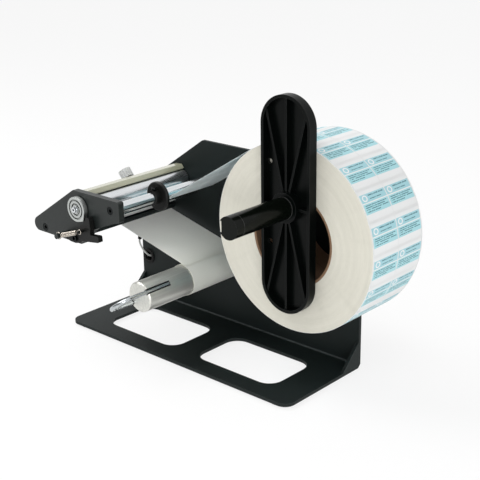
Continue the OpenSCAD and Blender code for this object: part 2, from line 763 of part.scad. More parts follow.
module disc_screw() color("#c3c7c9") {
    tube_y(roller_x, roller_z, disc_y - washer_t, disc_y, washer_d, disc_screw_d + 2 * fit);
    screw_y(roller_x, roller_z, disc_y - washer_t - disc_screw_h, 1, disc_screw_d,
        washer_t + screw_bite - blind_end, disc_screw_head, disc_screw_h, socket_d * 0.7, socket_depth * 0.7);
}

module edge_guide() color("#2a2e30") difference() {
    union() {
        rod_y(bar_x, bar_z, guide_y - guide_disc_t + guide_disc_chamfer, guide_y, guide_disc_d);
        cone_y(bar_x, bar_z, guide_y - guide_disc_t, guide_y - guide_disc_t + guide_disc_chamfer,
            guide_disc_d - 2 * guide_disc_chamfer, guide_disc_d);
        rod_y(bar_x, bar_z, guide_y - guide_disc_t - guide_hub_l, guide_y, guide_hub_d);
    }
    rod_y(bar_x, bar_z, guide_y - guide_disc_t - guide_hub_l - over, guide_y + over, bar_d + 2 * slide_fit);
    bench() translate([bar_x, guide_y - guide_disc_t - guide_hub_l / 2, bar_z])
        cylinder(h = guide_hub_d, d = guide_screw_d + 2 * fit);
}
module guide_screw() color("#b2b6b8") bench()
    translate([bar_x, guide_y - guide_disc_t - guide_hub_l / 2, bar_z + bar_d / 2 + gap]) {
        cylinder(h = (guide_hub_d - bar_d) / 2, d = guide_screw_d);
        translate([0, 0, (guide_hub_d - bar_d) / 2 + gap]) cylinder(h = guide_screw_h, d = guide_screw_head);
        cylinder(h = (guide_hub_d - bar_d) / 2 + gap + guide_screw_h, d = guide_screw_d);
    }

function sensor_floor(x) = peel_line(x) + (peel_r + gap + web_t + sensor_air) / cos(peel_angle);
// Head over the web, arm and ring round the rod, with a tilted hole for the knob's stem
module sensor_block() color("#33383a") difference() {
    slab_y(sensor_y0, sensor_w) union() {
        polygon(soft([
            [sensor_head_x0, sensor_floor(sensor_head_x0), sensor_head_r],
            [sensor_head_x1, sensor_floor(sensor_head_x1), sensor_head_r],
            [sensor_rod_x, sensor_rod_z - clamp_d / 2 + clamp_arm / 2, 0], [sensor_rod_x, sensor_rod_z, 0],
            [sensor_rod_x - clamp_d / 2 + clamp_arm, sensor_rod_z + clamp_arm / 2, 0],
            [sensor_head_x0, sensor_floor(sensor_head_x0) + sensor_head_h, sensor_head_r]
        ], 5));
        translate([sensor_rod_x, sensor_rod_z]) circle(d = clamp_d);
    }
    rod_y(sensor_rod_x, sensor_rod_z, sensor_y0 - over, sensor_y0 + sensor_w + over,
        sensor_rod_d + 2 * slide_fit);
    bench() translate([sensor_rod_x, sensor_y, sensor_rod_z]) rotate([0, -clamp_tilt, 0])
        cylinder(h = clamp_d / 2 + over, d = knob_stem_d + 2 * fit);
}
module sensor_lens() color("#7a1f1c") {
    mid = (sensor_head_x0 + sensor_head_x1) / 2;
    for (y = [sensor_y - lens_step / 2, sensor_y + lens_step / 2])
        bench() translate([mid, y, sensor_floor(mid)]) rotate([0, -peel_angle, 0])
            translate([0, 0, -lens_h]) cylinder(h = lens_h, d = lens_d);
}
// Round knob with a fluted rim
module fluted(d, h, count, flute) difference() {
    cylinder(h = h, d = d);
    for (i = [0:count - 1]) rotate(360 / count * i) translate([d / 2 + flute / 4, 0, -over])
        cylinder(h = h + 2 * over, d = flute, $fn = 16);
}
module clamp_knob() color("#e9eaea") bench() translate([sensor_rod_x, sensor_y, sensor_rod_z])
    rotate([0, -clamp_tilt, 0]) {
        seat = clamp_d / 2 + knob_lift;
        stem = sensor_rod_d / 2 + gap;
        translate([0, 0, seat]) fluted(knob_d, knob_h, knob_flutes, knob_flute_d);
        translate([0, 0, stem]) cylinder(h = seat + knob_h / 2 - stem, d = knob_stem_d);
    }

module release_lever() color("#1e2121") difference() {
    union() {
        slab_y(lever_y, lever_t)
            polygon(soft([for (p = lever_shares) [
                lever_x + p.x * lever_reach, lever_z + p.y * lever_reach, p.z * lever_reach
            ]], 5));
        rod_y(stud_x, stud_z, lever_y - stud_l, lever_y, stud_d);
    }
    rod_y(lever_x, lever_z, lever_y - over, lever_y + lever_t + over, lever_pivot_d + 2 * fit);
}

// Tension spring: straight ends on the post and the stud, real curls between them
spring_from = [post_x, spring_y, post_z];
spring_to = [stud_x, spring_y, stud_z];
spring_way = unit(spring_to - spring_from);
spring_up = cross([0, 1, 0], spring_way);
spring_start = post_d / 2 + fit + spring_lead;
spring_run = norm(spring_to - spring_from) - post_d / 2 - stud_d / 2 - 2 * fit - 2 * spring_lead;
spring_r = spring_d / 2 - spring_wire / 2;
function curl_point(turns) = spring_from + spring_way * (spring_start + spring_run * turns / spring_curls)
    + spring_r * (cos(360 * turns) * [0, 1, 0] + sin(360 * turns) * spring_up);
function spring_end(s) = spring_from + spring_way * s;
spring_path = concat(
    [for (k = [0:3]) spring_end(post_d / 2 + fit + spring_lead * 0.5 * k / 3)],
    [for (k = [0:spring_curls * spring_rings]) curl_point(k / spring_rings)],
    [for (k = [3:-1:0]) spring_end(spring_start + spring_run + spring_lead - spring_lead * 0.5 * k / 3)]
);
module lever_spring() color("#d9dcde") sweep(spring_path, spring_wire / 2, spring_sides);
// Least gap between turns, taken a whole turn apart and nearer than one and a half
turn_gaps = [for (i = [4:len(spring_path) - 5 - spring_rings], k = [spring_rings - 2:spring_rings + 2])
    if (i + k < len(spring_path) - 4) norm(spring_path[i] - spring_path[i + k]) - spring_wire];
echo(least_gap_of_lever_spring = min(turn_gaps));

module rewind_mandrel() color("#c9ccca") difference() {
    union() {
        cone_y(mandrel_x, mandrel_z, mandrel_y, mandrel_y + mandrel_chamfer,
            mandrel_d - 2 * mandrel_chamfer, mandrel_d);
        rod_y(mandrel_x, mandrel_z, mandrel_y + mandrel_chamfer, panel_y - mandrel_gap, mandrel_d);
    }
    rod_y(mandrel_x, mandrel_z, panel_y - mandrel_gap - shaft_bite, panel_y + over, shaft_d + 2 * fit);
    bench() translate([mandrel_x, mandrel_y - over, mandrel_z]) rotate([0, -clip_angle, 0])
        for (side = [-1, 1]) translate([side * clip_r, 0, 0]) {
            rotate([-90, 0, 0]) cylinder(h = clip_tail + over + clip_play, d = clip_d + 2 * clip_play);
            translate([side > 0 ? 0 : -clip_d, 0, -clip_d / 2 - clip_play])
                cube([clip_d, clip_tail + over + clip_play, clip_d + 2 * clip_play]);
        }
}
module mandrel_shaft() color("#b4b8ba")
    rod_y(mandrel_x, mandrel_z, panel_y - mandrel_gap - shaft_bite + gap,
        gear_y + gear_w + gear_hub_l, shaft_d);
module wound_liner() color("#d9d9d2")
    tube_y(mandrel_x, mandrel_z, web_y, web_y + web_w,
        mandrel_d + 2 * fit + 2 * liner_wall, mandrel_d + 2 * fit);
module liner_clip() color("#dcdfe1") {
    bench() translate([mandrel_x, mandrel_y - clip_bend_y, mandrel_z]) rotate([0, -clip_angle, 0]) {
        for (side = [-1, 1]) translate([side * clip_r, 0, 0]) rotate([-90, 0, 0])
            cylinder(h = clip_bend_y + clip_tail, d = clip_d);
        rotate([0, 0, 180]) rotate_extrude(angle = 180) translate([clip_r, 0]) circle(d = clip_d);
    }
}

// Involute gear outline
function involute_angle(r, rb) = let(a = sqrt(max(r * r / rb / rb - 1, 0))) a * 180 / PI - atan(a);
function tooth_half(r, teeth, rp) = let(rb = rp * cos(20))
    90 / teeth - gear_play / rp * 90 / PI + involute_angle(rp, rb) - involute_angle(max(r, rb), rb);
function tooth_radii(rp) = [for (k = [0:4]) rp - 1.2 * gear_module + k / 4 * 2.1 * gear_module];
function gear_points(teeth) = let(rp = teeth * gear_module / 2, rs = tooth_radii(rp))
    flat([for (i = [0:teeth - 1]) let(mid = 360 / teeth * i) concat(
        [for (k = [0:4]) let(a = mid - tooth_half(rs[k], teeth, rp)) rs[k] * [cos(a), sin(a)]],
        [for (k = [4:-1:0]) let(a = mid + tooth_half(rs[k], teeth, rp)) rs[k] * [cos(a), sin(a)]]
    )]);
module rewind_gear() color("#e4e2d6") difference() {
    union() {
        slab_y(gear_y, gear_w) translate([mandrel_x, mandrel_z]) polygon(gear_points(gear_teeth));
        rod_y(mandrel_x, mandrel_z, gear_y + gear_w, gear_y + gear_w + gear_hub_l, gear_hub_d);
    }
    rod_y(mandrel_x, mandrel_z, gear_y - over, gear_y + gear_w + gear_hub_l + over, shaft_d + 2 * fit);
}
module motor_pinion() color("#c8a45a") {
    slab_y(gear_y, gear_w) translate([pinion_x, pinion_z])
        rotate(pinion_teeth % 2 == 0 ? 180 / pinion_teeth : 0) polygon(gear_points(pinion_teeth));
    rod_y(pinion_x, pinion_z, gear_y + gear_w, bracket_y + bracket_t + gearbox_t / 2, pinion_shaft_d);
}
module mandrel_bearing() color("#a7abad") difference() {
    union() {
        rod_y(mandrel_x, mandrel_z, panel_y, back_y + bearing_flange_t, bearing_d);
        rod_y(mandrel_x, mandrel_z, back_y, back_y + bearing_flange_t, bearing_flange_d);
    }
    rod_y(mandrel_x, mandrel_z, panel_y - over, back_y + bearing_flange_t + over, shaft_d + 2 * fit);
}

bracket_legs = [for (x = [-bracket_x0 + bracket_leg_inset, bracket_x1 - bracket_leg_inset], z = [-1, 1])
    [pinion_x + x, pinion_z + z * (bracket_h - bracket_leg_inset)]];
module motor_bracket() color("#9ea3a5") difference() {
    union() {
        box(pinion_x - bracket_x0, pinion_x + bracket_x1, bracket_y, bracket_y + bracket_t,
            pinion_z - bracket_h, pinion_z + bracket_h);
        for (p = bracket_legs) rod_y(p.x, p.y, back_y, bracket_y + bracket_t, bracket_leg_d);
    }
    rod_y(pinion_x, pinion_z, bracket_y - over, bracket_y + bracket_t + over, pinion_shaft_d * 2);
    for (p = bracket_legs)
        rod_y(p.x, p.y, bracket_y + bracket_t - screw_bite, bracket_y + bracket_t + over,
            cover_screw_d + 2 * fit);
}
module motor_screws() color("#8d9294") for (p = bracket_legs)
    screw_y(p.x, p.y, bracket_y + bracket_t + cover_screw_h, -1, cover_screw_d, screw_bite - gap,
        cover_screw_head, cover_screw_h, socket_d * 0.7, socket_depth * 0.7);
module gearbox() color("#b9bcb6") difference() {
    slab_y(gearbox_y, gearbox_t) translate([pinion_x + (bracket_x1 - bracket_x0) / 2, pinion_z])
        polygon(soft([
            [-gearbox_w / 2, -gearbox_h / 2, gearbox_r], [gearbox_w / 2, -gearbox_h / 2, gearbox_r],
            [gearbox_w / 2, gearbox_h / 2, gearbox_r], [-gearbox_w / 2, gearbox_h / 2, gearbox_r]
        ], 5));
    rod_y(pinion_x, pinion_z, gearbox_y - over, gearbox_y + gearbox_t - blind_end, pinion_shaft_d + 2 * fit);
}
module drive_motor() color("#8b8f91") {
    motor_x = pinion_x + (bracket_x1 - bracket_x0) / 2;
    motor_y = gearbox_y + gearbox_t;
    rod_y(motor_x, pinion_z, motor_y, motor_y + motor_l, motor_d);
    rod_y(motor_x, pinion_z, motor_y + motor_l, motor_y + motor_l + motor_cap_l, motor_cap_d);
    for (side = [-1, 1]) box(motor_x + side * motor_tab_step / 2 - motor_tab_w / 2,
        motor_x + side * motor_tab_step / 2 + motor_tab_w / 2, motor_y + motor_l,
        motor_y + motor_l + motor_tab_l, pinion_z - motor_tab_t / 2, pinion_z + motor_tab_t / 2);
}

board_corners = [for (x = [board_post_inset, board_w - board_post_inset])
    for (z = [board_post_inset, board_h - board_post_inset]) [board_x + x, board_z + z]];
cover_corners = [for (x = [cover_x0 + cover_post_inset, cover_x1 - cover_post_inset])
    for (z = [cover_z0 + cover_post_inset, cover_z1 - cover_post_inset]) [x, z]];
module circuit_board() color("#1f5a3c")
    box(board_x, board_x + board_w, board_y, board_y + board_t, board_z, board_z + board_h);
module standoffs() color("#c2b27c") {
    for (p = board_corners) rod_y(p.x, p.y, back_y, board_y, board_post_d);
    for (p = cover_corners) difference() {
        rod_y(p.x, p.y, back_y, cover_y - cover_t, cover_post_d);
        rod_y(p.x, p.y, cover_y - cover_t - cover_screw_bite, cover_y, cover_screw_d + 2 * fit);
    }
}
// Parts on the board, in shares of its size: along, up, width, height or 0 if round, and depth
board_shares = [
    [0.22, 0.7, 0.16, 0, 0.225], [0.22, 0.36, 0.13, 0, 0.18], [0.5, 0.66, 0.3, 0.33, 0.24],
    [0.78, 0.7, 0.16, 0.2, 0.08], [0.8, 0.34, 0.225, 0.26, 0.056], [0.5, 0.24, 0.19, 0.15, 0.13]
];
module board_parts() color("#303438") for (b = board_shares) {
    x = board_x + b[0] * board_w;
    z = board_z + b[1] * board_h;
    w = b[2] * board_w / 2;
    h = b[3] * board_h / 2;
    y0 = board_y + board_t;
    y1 = y0 + b[4] * board_w;
    if (h == 0) rod_y(x, z, y0, y1, 2 * w);
    else box(x - w, x + w, y0, y1, z - h, z + h);
}

module rear_cover() color("#232727") difference() {
    box(cover_x0, cover_x1, back_y, cover_y, cover_z0, cover_z1);
    box(cover_x0 + cover_t, cover_x1 - cover_t, back_y - over, cover_y - cover_t,
        cover_z0 + cover_t, cover_z1 - cover_t);
    for (p = cover_corners)
        rod_y(p.x, p.y, cover_y - cover_t - over, cover_y + over, cover_screw_d + 2 * fit);
    for (i = [0:vent_count - 1]) box(vent_x - vent_step * i, vent_x - vent_step * i + vent_w,
        cover_y - cover_t - over, cover_y + over, vent_z - vent_h / 2, vent_z + vent_h / 2);
    box(inlet_x - inlet_w / 2 - fit, inlet_x + inlet_w / 2 + fit, cover_y - cover_t - over, cover_y + over,
        inlet_z - inlet_h / 2 - fit, inlet_z + inlet_h / 2 + fit);
    box(switch_x - switch_w / 2 - fit, switch_x + switch_w / 2 + fit, cover_y - cover_t - over,
        cover_y + over, control_z - switch_h / 2 - fit, control_z + switch_h / 2 + fit);
    rod_y(pot_x, control_z, cover_y - cover_t - over, cover_y + over, pot_bush_d + 2 * fit);
}
module cover_screws() color("#8d9294") for (p = cover_corners)
    screw_y(p.x, p.y, cover_y + cover_screw_h, -1, cover_screw_d, cover_t + cover_screw_bite - gap,
        cover_screw_head, cover_screw_h, socket_d * 0.7, socket_depth * 0.7);

module dc_inlet() color("#17191a") {
    difference() {
        union() {
            box(inlet_x - inlet_w / 2, inlet_x + inlet_w / 2, cover_y - inlet_l, cover_y + inlet_flange_t,
                inlet_z - inlet_h / 2, inlet_z + inlet_h / 2);
            box(inlet_x - inlet_w / 2 - inlet_flange, inlet_x + inlet_w / 2 + inlet_flange,
                cover_y, cover_y + inlet_flange_t,
                inlet_z - inlet_h / 2 - inlet_flange, inlet_z + inlet_h / 2 + inlet_flange);
        }
        rod_y(inlet_x, inlet_z, cover_y + inlet_flange_t - inlet_depth, cover_y + inlet_flange_t + over,
            inlet_bore);
    }
    rod_y(inlet_x, inlet_z, cover_y + inlet_flange_t - inlet_depth - over, cover_y, inlet_pin_d);
}

module switch_body() color("#191b1c") difference() {
    union() {
        box(switch_x - switch_w / 2, switch_x + switch_w / 2, cover_y - switch_l, cover_y + switch_lip_t,
            control_z - switch_h / 2, control_z + switch_h / 2);
        box(switch_x - switch_w / 2 - switch_lip, switch_x + switch_w / 2 + switch_lip,
            cover_y, cover_y + switch_lip_t,
            control_z - switch_h / 2 - switch_lip, control_z + switch_h / 2 + switch_lip);
    }
    box(rocker_x0, rocker_x1, cover_y - switch_l + rocker_wall, cover_y + switch_lip_t + over,
        control_z - switch_h / 2 + rocker_wall, control_z + switch_h / 2 - rocker_wall);
    rocker_axle(rocker_axle_l + fit, rocker_axle_d + 2 * fit);
}
module rocker_axle(bite, d) bench() translate([rocker_x0 - bite, rocker_y, control_z])
    rotate([0, 90, 0]) cylinder(h = rocker_x1 - rocker_x0 + 2 * bite, d = d);
// Rocker that tilts about its axle, with a shallow V as its face
module power_rocker() color("#0f1011") {
    rocker_axle(rocker_axle_l, rocker_axle_d);
    bench() translate([rocker_x0 + rocker_gap, rocker_y, control_z]) rotate([90, 0, 90])
        linear_extrude(rocker_x1 - rocker_x0 - 2 * rocker_gap) rotate(rocker_angle) polygon([
            [-rocker_d / 2, 0], [0, -rocker_half / 2], [0, -rocker_half],
            [rocker_proud + rocker_step, -rocker_half], [rocker_proud, 0],
            [rocker_proud + rocker_step, rocker_half], [0, rocker_half], [0, rocker_half / 2]
        ]);
}

module speed_pot() color("#6f7476") difference() {
    union() {
        rod_y(pot_x, control_z, cover_y - cover_t - pot_l, cover_y - cover_t, pot_d);
        rod_y(pot_x, control_z, cover_y - cover_t, cover_y - cover_t + pot_bush_l, pot_bush_d);
        hex_y(pot_x, control_z, cover_y, cover_y + pot_nut_t, pot_nut_d);
    }
    rod_y(pot_x, control_z, cover_y - cover_t - pot_l / 2, cover_y + pot_bush_l + over,
        pot_shaft_d + 2 * fit);
}
module speed_knob() color("#1b1d1e") {
    difference() {
        bench() translate([pot_x, dial_y0, control_z]) rotate([-90, 0, 0])
            fluted(dial_d, dial_h, dial_flutes, dial_flute_d);
        rod_y(pot_x, control_z, dial_y0 - over, dial_y, pot_nut_d + 2 * dial_gap);
    }
    rod_y(pot_x, control_z, cover_y - cover_t - pot_l / 2 + pot_gap, dial_y0 + dial_h / 2, pot_shaft_d);
}

module roll_core() color("#a98a63")
    tube_y(roll_x, roll_z, roll_y, roll_y + roll_w, core_bore + 2 * core_wall, core_bore);
module label_roll() color("#e2ddcf")
    tube_y(roll_x, roll_z, roll_y, roll_y + roll_w, roll_d, core_bore + 2 * core_wall + 2 * fit);

module obround(w, l) union() {
    square([w, l - w], center = true);
    for (side = [-1, 1]) translate([0, side * (l - w) / 2]) circle(d = w);
}
// Ribs run from the hub to the rim
module flange_ribs() {
    reach = (flange_l - flange_w) / 2 + flange_w / 2 * flange_star_share;
    half_w = flange_w / 2 - rib_t;
    square([rib_t, 2 * reach], center = true);
    square([2 * half_w, rib_t], center = true);
    for (side = [-1, 1]) rotate(side * atan2(half_w, reach))
        square([rib_t, 2 * norm([reach, half_w]) * flange_star_share], center = true);
}
module paddle_flange() color("#222626") difference() {
    union() {
        slab_y(flange_y1 - flange_floor, flange_floor) translate([spindle_x, spindle_z])
            obround(flange_w, flange_l);
        slab_y(flange_y0, flange_t) translate([spindle_x, spindle_z]) difference() {
            obround(flange_w, flange_l);
            obround(flange_w - 2 * flange_rim, flange_l - 2 * flange_rim);
        }
        slab_y(flange_y0 + rib_set, flange_t - rib_set) translate([spindle_x, spindle_z]) intersection() {
            obround(flange_w - flange_rim, flange_l - flange_rim);
            flange_ribs();
        }
        rod_y(spindle_x, spindle_z, flange_y0 - flange_hub_proud, flange_y1, flange_hub_d);
    }
    rod_y(spindle_x, spindle_z, flange_y0 - flange_hub_proud - over, flange_y1 + over,
        spindle_d + 2 * slide_fit);
    for (x = [-1, 1], z = [-1, 1]) rod_y(spindle_x + x * flange_hole_x, spindle_z + z * flange_hole_z,
        flange_y0 - over, flange_y1 + over, flange_hole_d);
}

main_frame();
corner_gussets();
rubber_feet();
front_plate();
upper_guide_bar();
lower_guide_rod();
tip_rod();
sensor_rod();
plate_screws();
panel_screws();
roller_bushes();
stripper_bar();
peel_plate();
liner_guide();
label_web();
liner_strip();
spindle_tube();
spindle_cap();
spindle_collar();
spindle_screw();
cable_grommet();
cable_sleeve();
sensor_cable();
spring_post();
pivot_screw();
motor_bracket();
gearbox();
drive_motor();
motor_screws();
mandrel_bearing();
circuit_board();
standoffs();
board_parts();
rear_cover();
cover_screws();
dc_inlet();
switch_body();
speed_pot();
pressure_roller();
roller_shaft();
roller_disc();
disc_screw();
edge_guide();
guide_screw();
sensor_block();
sensor_lens();
clamp_knob();
release_lever();
lever_spring();
rewind_mandrel();
mandrel_shaft();
wound_liner();
rewind_gear();
liner_clip();
motor_pinion();
roll_core();
label_roll();
paddle_flange();
power_rocker();
speed_knob();
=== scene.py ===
"""Looks of a table-top label peeling machine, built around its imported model.

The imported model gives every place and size. Hard pieces are copies of its nodes with their
flat faces joined and their edges broken, so that they catch the light. Paper, labels, the
roll, the spring and the sensor's lead are modelled here from the same places.
"""

from __future__ import annotations

import json
import logging
import math
import random
from collections.abc import Callable, Mapping, Sequence
from dataclasses import dataclass
from enum import Enum
from typing import Any, ClassVar, Union

import bmesh
import bpy
from mathutils import Matrix, Vector
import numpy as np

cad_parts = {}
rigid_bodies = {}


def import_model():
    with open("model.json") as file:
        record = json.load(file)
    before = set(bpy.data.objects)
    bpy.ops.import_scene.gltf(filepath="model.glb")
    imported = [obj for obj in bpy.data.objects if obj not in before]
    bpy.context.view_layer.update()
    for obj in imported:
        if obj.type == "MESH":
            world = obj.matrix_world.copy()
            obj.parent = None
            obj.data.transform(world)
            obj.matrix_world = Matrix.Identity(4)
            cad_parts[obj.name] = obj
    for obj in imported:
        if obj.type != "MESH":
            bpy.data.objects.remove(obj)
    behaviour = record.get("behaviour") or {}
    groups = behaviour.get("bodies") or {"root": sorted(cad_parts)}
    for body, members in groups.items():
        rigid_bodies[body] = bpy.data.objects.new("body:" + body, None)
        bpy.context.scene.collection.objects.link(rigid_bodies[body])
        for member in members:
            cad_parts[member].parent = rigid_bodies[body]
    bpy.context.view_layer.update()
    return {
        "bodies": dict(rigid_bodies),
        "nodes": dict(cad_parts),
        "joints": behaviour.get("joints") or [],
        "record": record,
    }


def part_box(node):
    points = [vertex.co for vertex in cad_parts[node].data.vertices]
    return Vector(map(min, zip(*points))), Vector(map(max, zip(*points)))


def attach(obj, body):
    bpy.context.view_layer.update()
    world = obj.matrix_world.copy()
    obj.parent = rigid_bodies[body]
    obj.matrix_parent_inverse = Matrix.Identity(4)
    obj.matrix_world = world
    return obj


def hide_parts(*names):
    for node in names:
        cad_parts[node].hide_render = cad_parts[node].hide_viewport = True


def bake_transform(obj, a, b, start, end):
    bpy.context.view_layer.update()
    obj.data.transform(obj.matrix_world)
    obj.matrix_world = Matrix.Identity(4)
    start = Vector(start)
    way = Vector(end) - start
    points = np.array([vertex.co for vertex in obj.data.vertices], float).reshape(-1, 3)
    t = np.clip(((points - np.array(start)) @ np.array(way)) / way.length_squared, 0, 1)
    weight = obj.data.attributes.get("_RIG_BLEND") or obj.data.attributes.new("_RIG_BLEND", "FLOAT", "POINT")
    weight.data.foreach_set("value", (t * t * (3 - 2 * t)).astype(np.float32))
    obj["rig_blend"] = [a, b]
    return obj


LOG = logging.getLogger("label_peeler")
MM = 0.001
# Resolution of a wire's round section, and faces across an edge whose round shows
TUBE_ROUND, ROUND_FACES = 4, 3
# Turns in degrees up to which faces look smooth: hard pieces, cardboard, and paper, wire and lead
HARD, CARD, SOFT = 38.0, 50.0, 60.0
Rgb = tuple[float, float, float]
Place = tuple[float, float, float]
Point = tuple[float, float]
Rect = tuple[float, float, float, float]
WHITE: Rgb = (1.0, 1.0, 1.0)


class Grain(Enum):
    """Stretch of the fine marks that a metal's finishing leaves."""

    EVEN = (1.0, 1.0, 1.0)
    ALONG = (1.0, 0.03, 1.0)
    ROUND = None


def _step(operation: str, turned: bool = False) -> Callable[..., Wire]:
    """Makes a wire's method out of a Math node's operation.

    Args:
        operation: The operation.
        turned: Whether the other value comes first.

    Returns:
        The method.
    """
    def method(wire: Wire, *others: Value) -> Wire:
        """Adds the node behind the wire."""
        return wire.math(operation, *((*others, wire) if turned else (wire, *others)))

    return method


class Wire:
    """A value, colour or vector in a node tree, with Python's arithmetic on values."""

    __add__ = __radd__ = _step("ADD")
    __mul__ = __rmul__ = _step("MULTIPLY")
    __sub__ = _step("SUBTRACT")
    __rsub__ = _step("SUBTRACT", turned=True)
    __truediv__ = _step("DIVIDE")
    __gt__ = _step("GREATER_THAN")
    __lt__ = _step("LESS_THAN")
    angle = _step("ARCTAN2")
    fraction = _step("FRACT")
    root = _step("SQRT")

    def __init__(self, paint: Paint, socket: bpy.types.NodeSocket) -> None:
        """Wraps one output of a tree, to which new nodes are added."""
        self.paint = paint
        self.socket = socket

    def math(self, operation: str, *values: Value, clamp: bool = False) -> Wire:
        """Adds a Math node with its inputs in order, kept from 0 to 1 where it clamps."""
        settings = {"operation": operation, "use_clamp": clamp}
        return self.paint.node("ShaderNodeMath", settings, dict(enumerate(values)))

    def within(self, low: float, high: float) -> Wire:
        """1 between two values."""
        return (self > low) * (self < high)

    def reach(self, other: Wire) -> Wire:
        """Distance that this wire and another one make up at a right angle."""
        return (self * self + other * other).root()

    def blend(self, share: float, other: Wire) -> Wire:
        """This wire at a share, and another one at the rest."""
        return self * share + other * (1.0 - share)

    def limited(self) -> Wire:
        """The value kept from 0 to 1."""
        return self.math("ADD", self, 0.0, clamp=True)


Value = Union[Wire, float, int, Sequence[float]]


class Paint:
    """One material, its node tree written as Python expressions."""

    MIX_FACTOR, MIX_A, MIX_B, MIX_RESULT = 0, 6, 7, 2
    GENERATED, UV, OBJECT = 0, 2, 3
    # Samples of the painted shade in grooves and slots, how fast it grows, and where it starts
    AO_SAMPLES, DEEP_GAIN, DEEP_START = 8, 1.9, 0.35

    def __init__(self, name: str) -> None:
        """Starts a material with its usual shader.

        Args:
            name: Name of the material.
        """
        self.material = bpy.data.materials.new(name)
        self.material.use_nodes = True
        self.tree = self.material.node_tree
        self.shader = self.tree.nodes["Principled BSDF"]

    @classmethod
    def of_world(cls, world: bpy.types.World) -> Paint:
        """Wraps the node tree of a world in the same way.

        Args:
            world: The world.

        Returns:
            Its paint.
        """
        paint = cls.__new__(cls)
        paint.tree = world.node_tree
        paint.shader = paint.tree.nodes["Background"]
        return paint

    def node(self, kind: str, settings: Mapping[str, Any] | None = None,
             sockets: Mapping[Any, Value] | None = None, out: int = 0) -> Wire:
        """Adds a node.

        Args:
            kind: Type of the node.
            settings: Its own settings.
            sockets: Values or links of its inputs.
            out: Which output to return.

        Returns:
            That output.
        """
        made = self.tree.nodes.new(kind)
        for key, value in (settings or {}).items():
            setattr(made, key, value)
        for key, value in (sockets or {}).items():
            self._plug(made.inputs[key], value)
        return Wire(self, made.outputs[out])

    def _plug(self, socket: bpy.types.NodeSocket, value: Value) -> None:
        """Links a wire to an input, or sets the input's own value.

        Args:
            socket: The input.
            value: The wire, number, colour or vector.
        """
        if isinstance(value, Wire):
            self.tree.links.new(value.socket, socket)
        elif isinstance(value, (float, int)):
            socket.default_value = value
        else:
            wanted = len(socket.default_value)
            socket.default_value = (*value, 1.0)[:wanted]

    def set(self, **sockets: Value) -> None:
        """Sets the shader's inputs, with underscores for the spaces in their names."""
        for key, value in sockets.items():
            self._plug(self.shader.inputs[key.replace("_", " ")], value)

    def place(self, out: int = OBJECT) -> Wire:
        """Object coordinates, which are the machine's own frame, or another output of theirs."""
        return self.node("ShaderNodeTexCoord", out=out)

    def parts(self, vector: Wire) -> tuple[Wire, Wire, Wire]:
        """The three parts of a vector."""
        split = self.node("ShaderNodeSeparateXYZ", sockets={0: vector}).socket.node
        return tuple(Wire(self, output) for output in split.outputs)

    def vector(self, *parts: Value) -> Wire:
        """A vector from its three parts."""
        return self.node("ShaderNodeCombineXYZ", sockets=dict(enumerate(parts)))

    def about(self, axis: Point) -> tuple[Wire, Wire, Wire]:
        """Object coordinates from a line along the machine's depth: across, along and above it."""
        x, y, z = self.parts(self.place())
        return x - axis[0], y, z - axis[1]

    def stretched(self, scale: Sequence[float]) -> Wire:
        """Object coordinates scaled along each axis."""
        return self.node("ShaderNodeVectorMath", {"operation": "MULTIPLY"},
                         {0: self.place(), 1: tuple(scale)})

    def noise(self, scale: float, detail: float = 3.0, where: Wire | None = None) -> Wire:
        """Soft noise from 0 to 1, with so many waves in a metre and finer layers."""
        return self.node("ShaderNodeTexNoise", sockets={
            "Vector": where or self.place(), "Scale": scale, "Detail": detail})

    def mix(self, share: Value, a: Value, b: Value) -> Wire:
        """Colour between a at share 0 and b at share 1."""
        return self.node("ShaderNodeMix", {"data_type": "RGBA"},
                         {self.MIX_FACTOR: share, self.MIX_A: a, self.MIX_B: b}, self.MIX_RESULT)

    def shades(self, tone: Wire, color: Rgb, share: float) -> Wire:
        """A colour that darkens to a share of itself where the tone is 1."""
        return self.mix(tone, color, shaded(color, share))

    def edges(self) -> Wire:
        """1 on the broken edges of a dressed piece."""
        return self.node("ShaderNodeAttribute", {"attribute_name": Shape.EDGE}, out=2)

    def groove_shade(self, reach: float) -> Wire:
        """Mask of painted shade: grows towards 1 in grooves and slots that are narrower than a reach in
        metres.
        """
        sky = self.node("ShaderNodeAmbientOcclusion", {"samples": self.AO_SAMPLES},
                        {"Distance": reach}, 1)
        return ((sky * -1.0 + 1.0) * self.DEEP_GAIN - self.DEEP_START).limited()

    def bump(self, height: Wire, depth: float, strength: float = 1.0) -> None:
        """Gives the surface a relief of a depth in metres, of which a share shows."""
        self.set(Normal=self.node("ShaderNodeBump", sockets={
            "Height": height, "Distance": depth, "Strength": strength}))


def shaded(color: Rgb, share: float) -> Rgb:
    """A colour darkened to a share of itself."""
    return tuple(c * share for c in color)


class Finish:
    """Looks of a surface."""

    def material(self, name: str) -> bpy.types.Material:
        """Builds the material.

        Args:
            name: Its name.

        Returns:
            The material.
        """
        paint = Paint(name)
        self.lay(paint)
        return paint.material

    def lay(self, paint: Paint) -> None:
        """Sets up the shader of a new material."""
        raise NotImplementedError


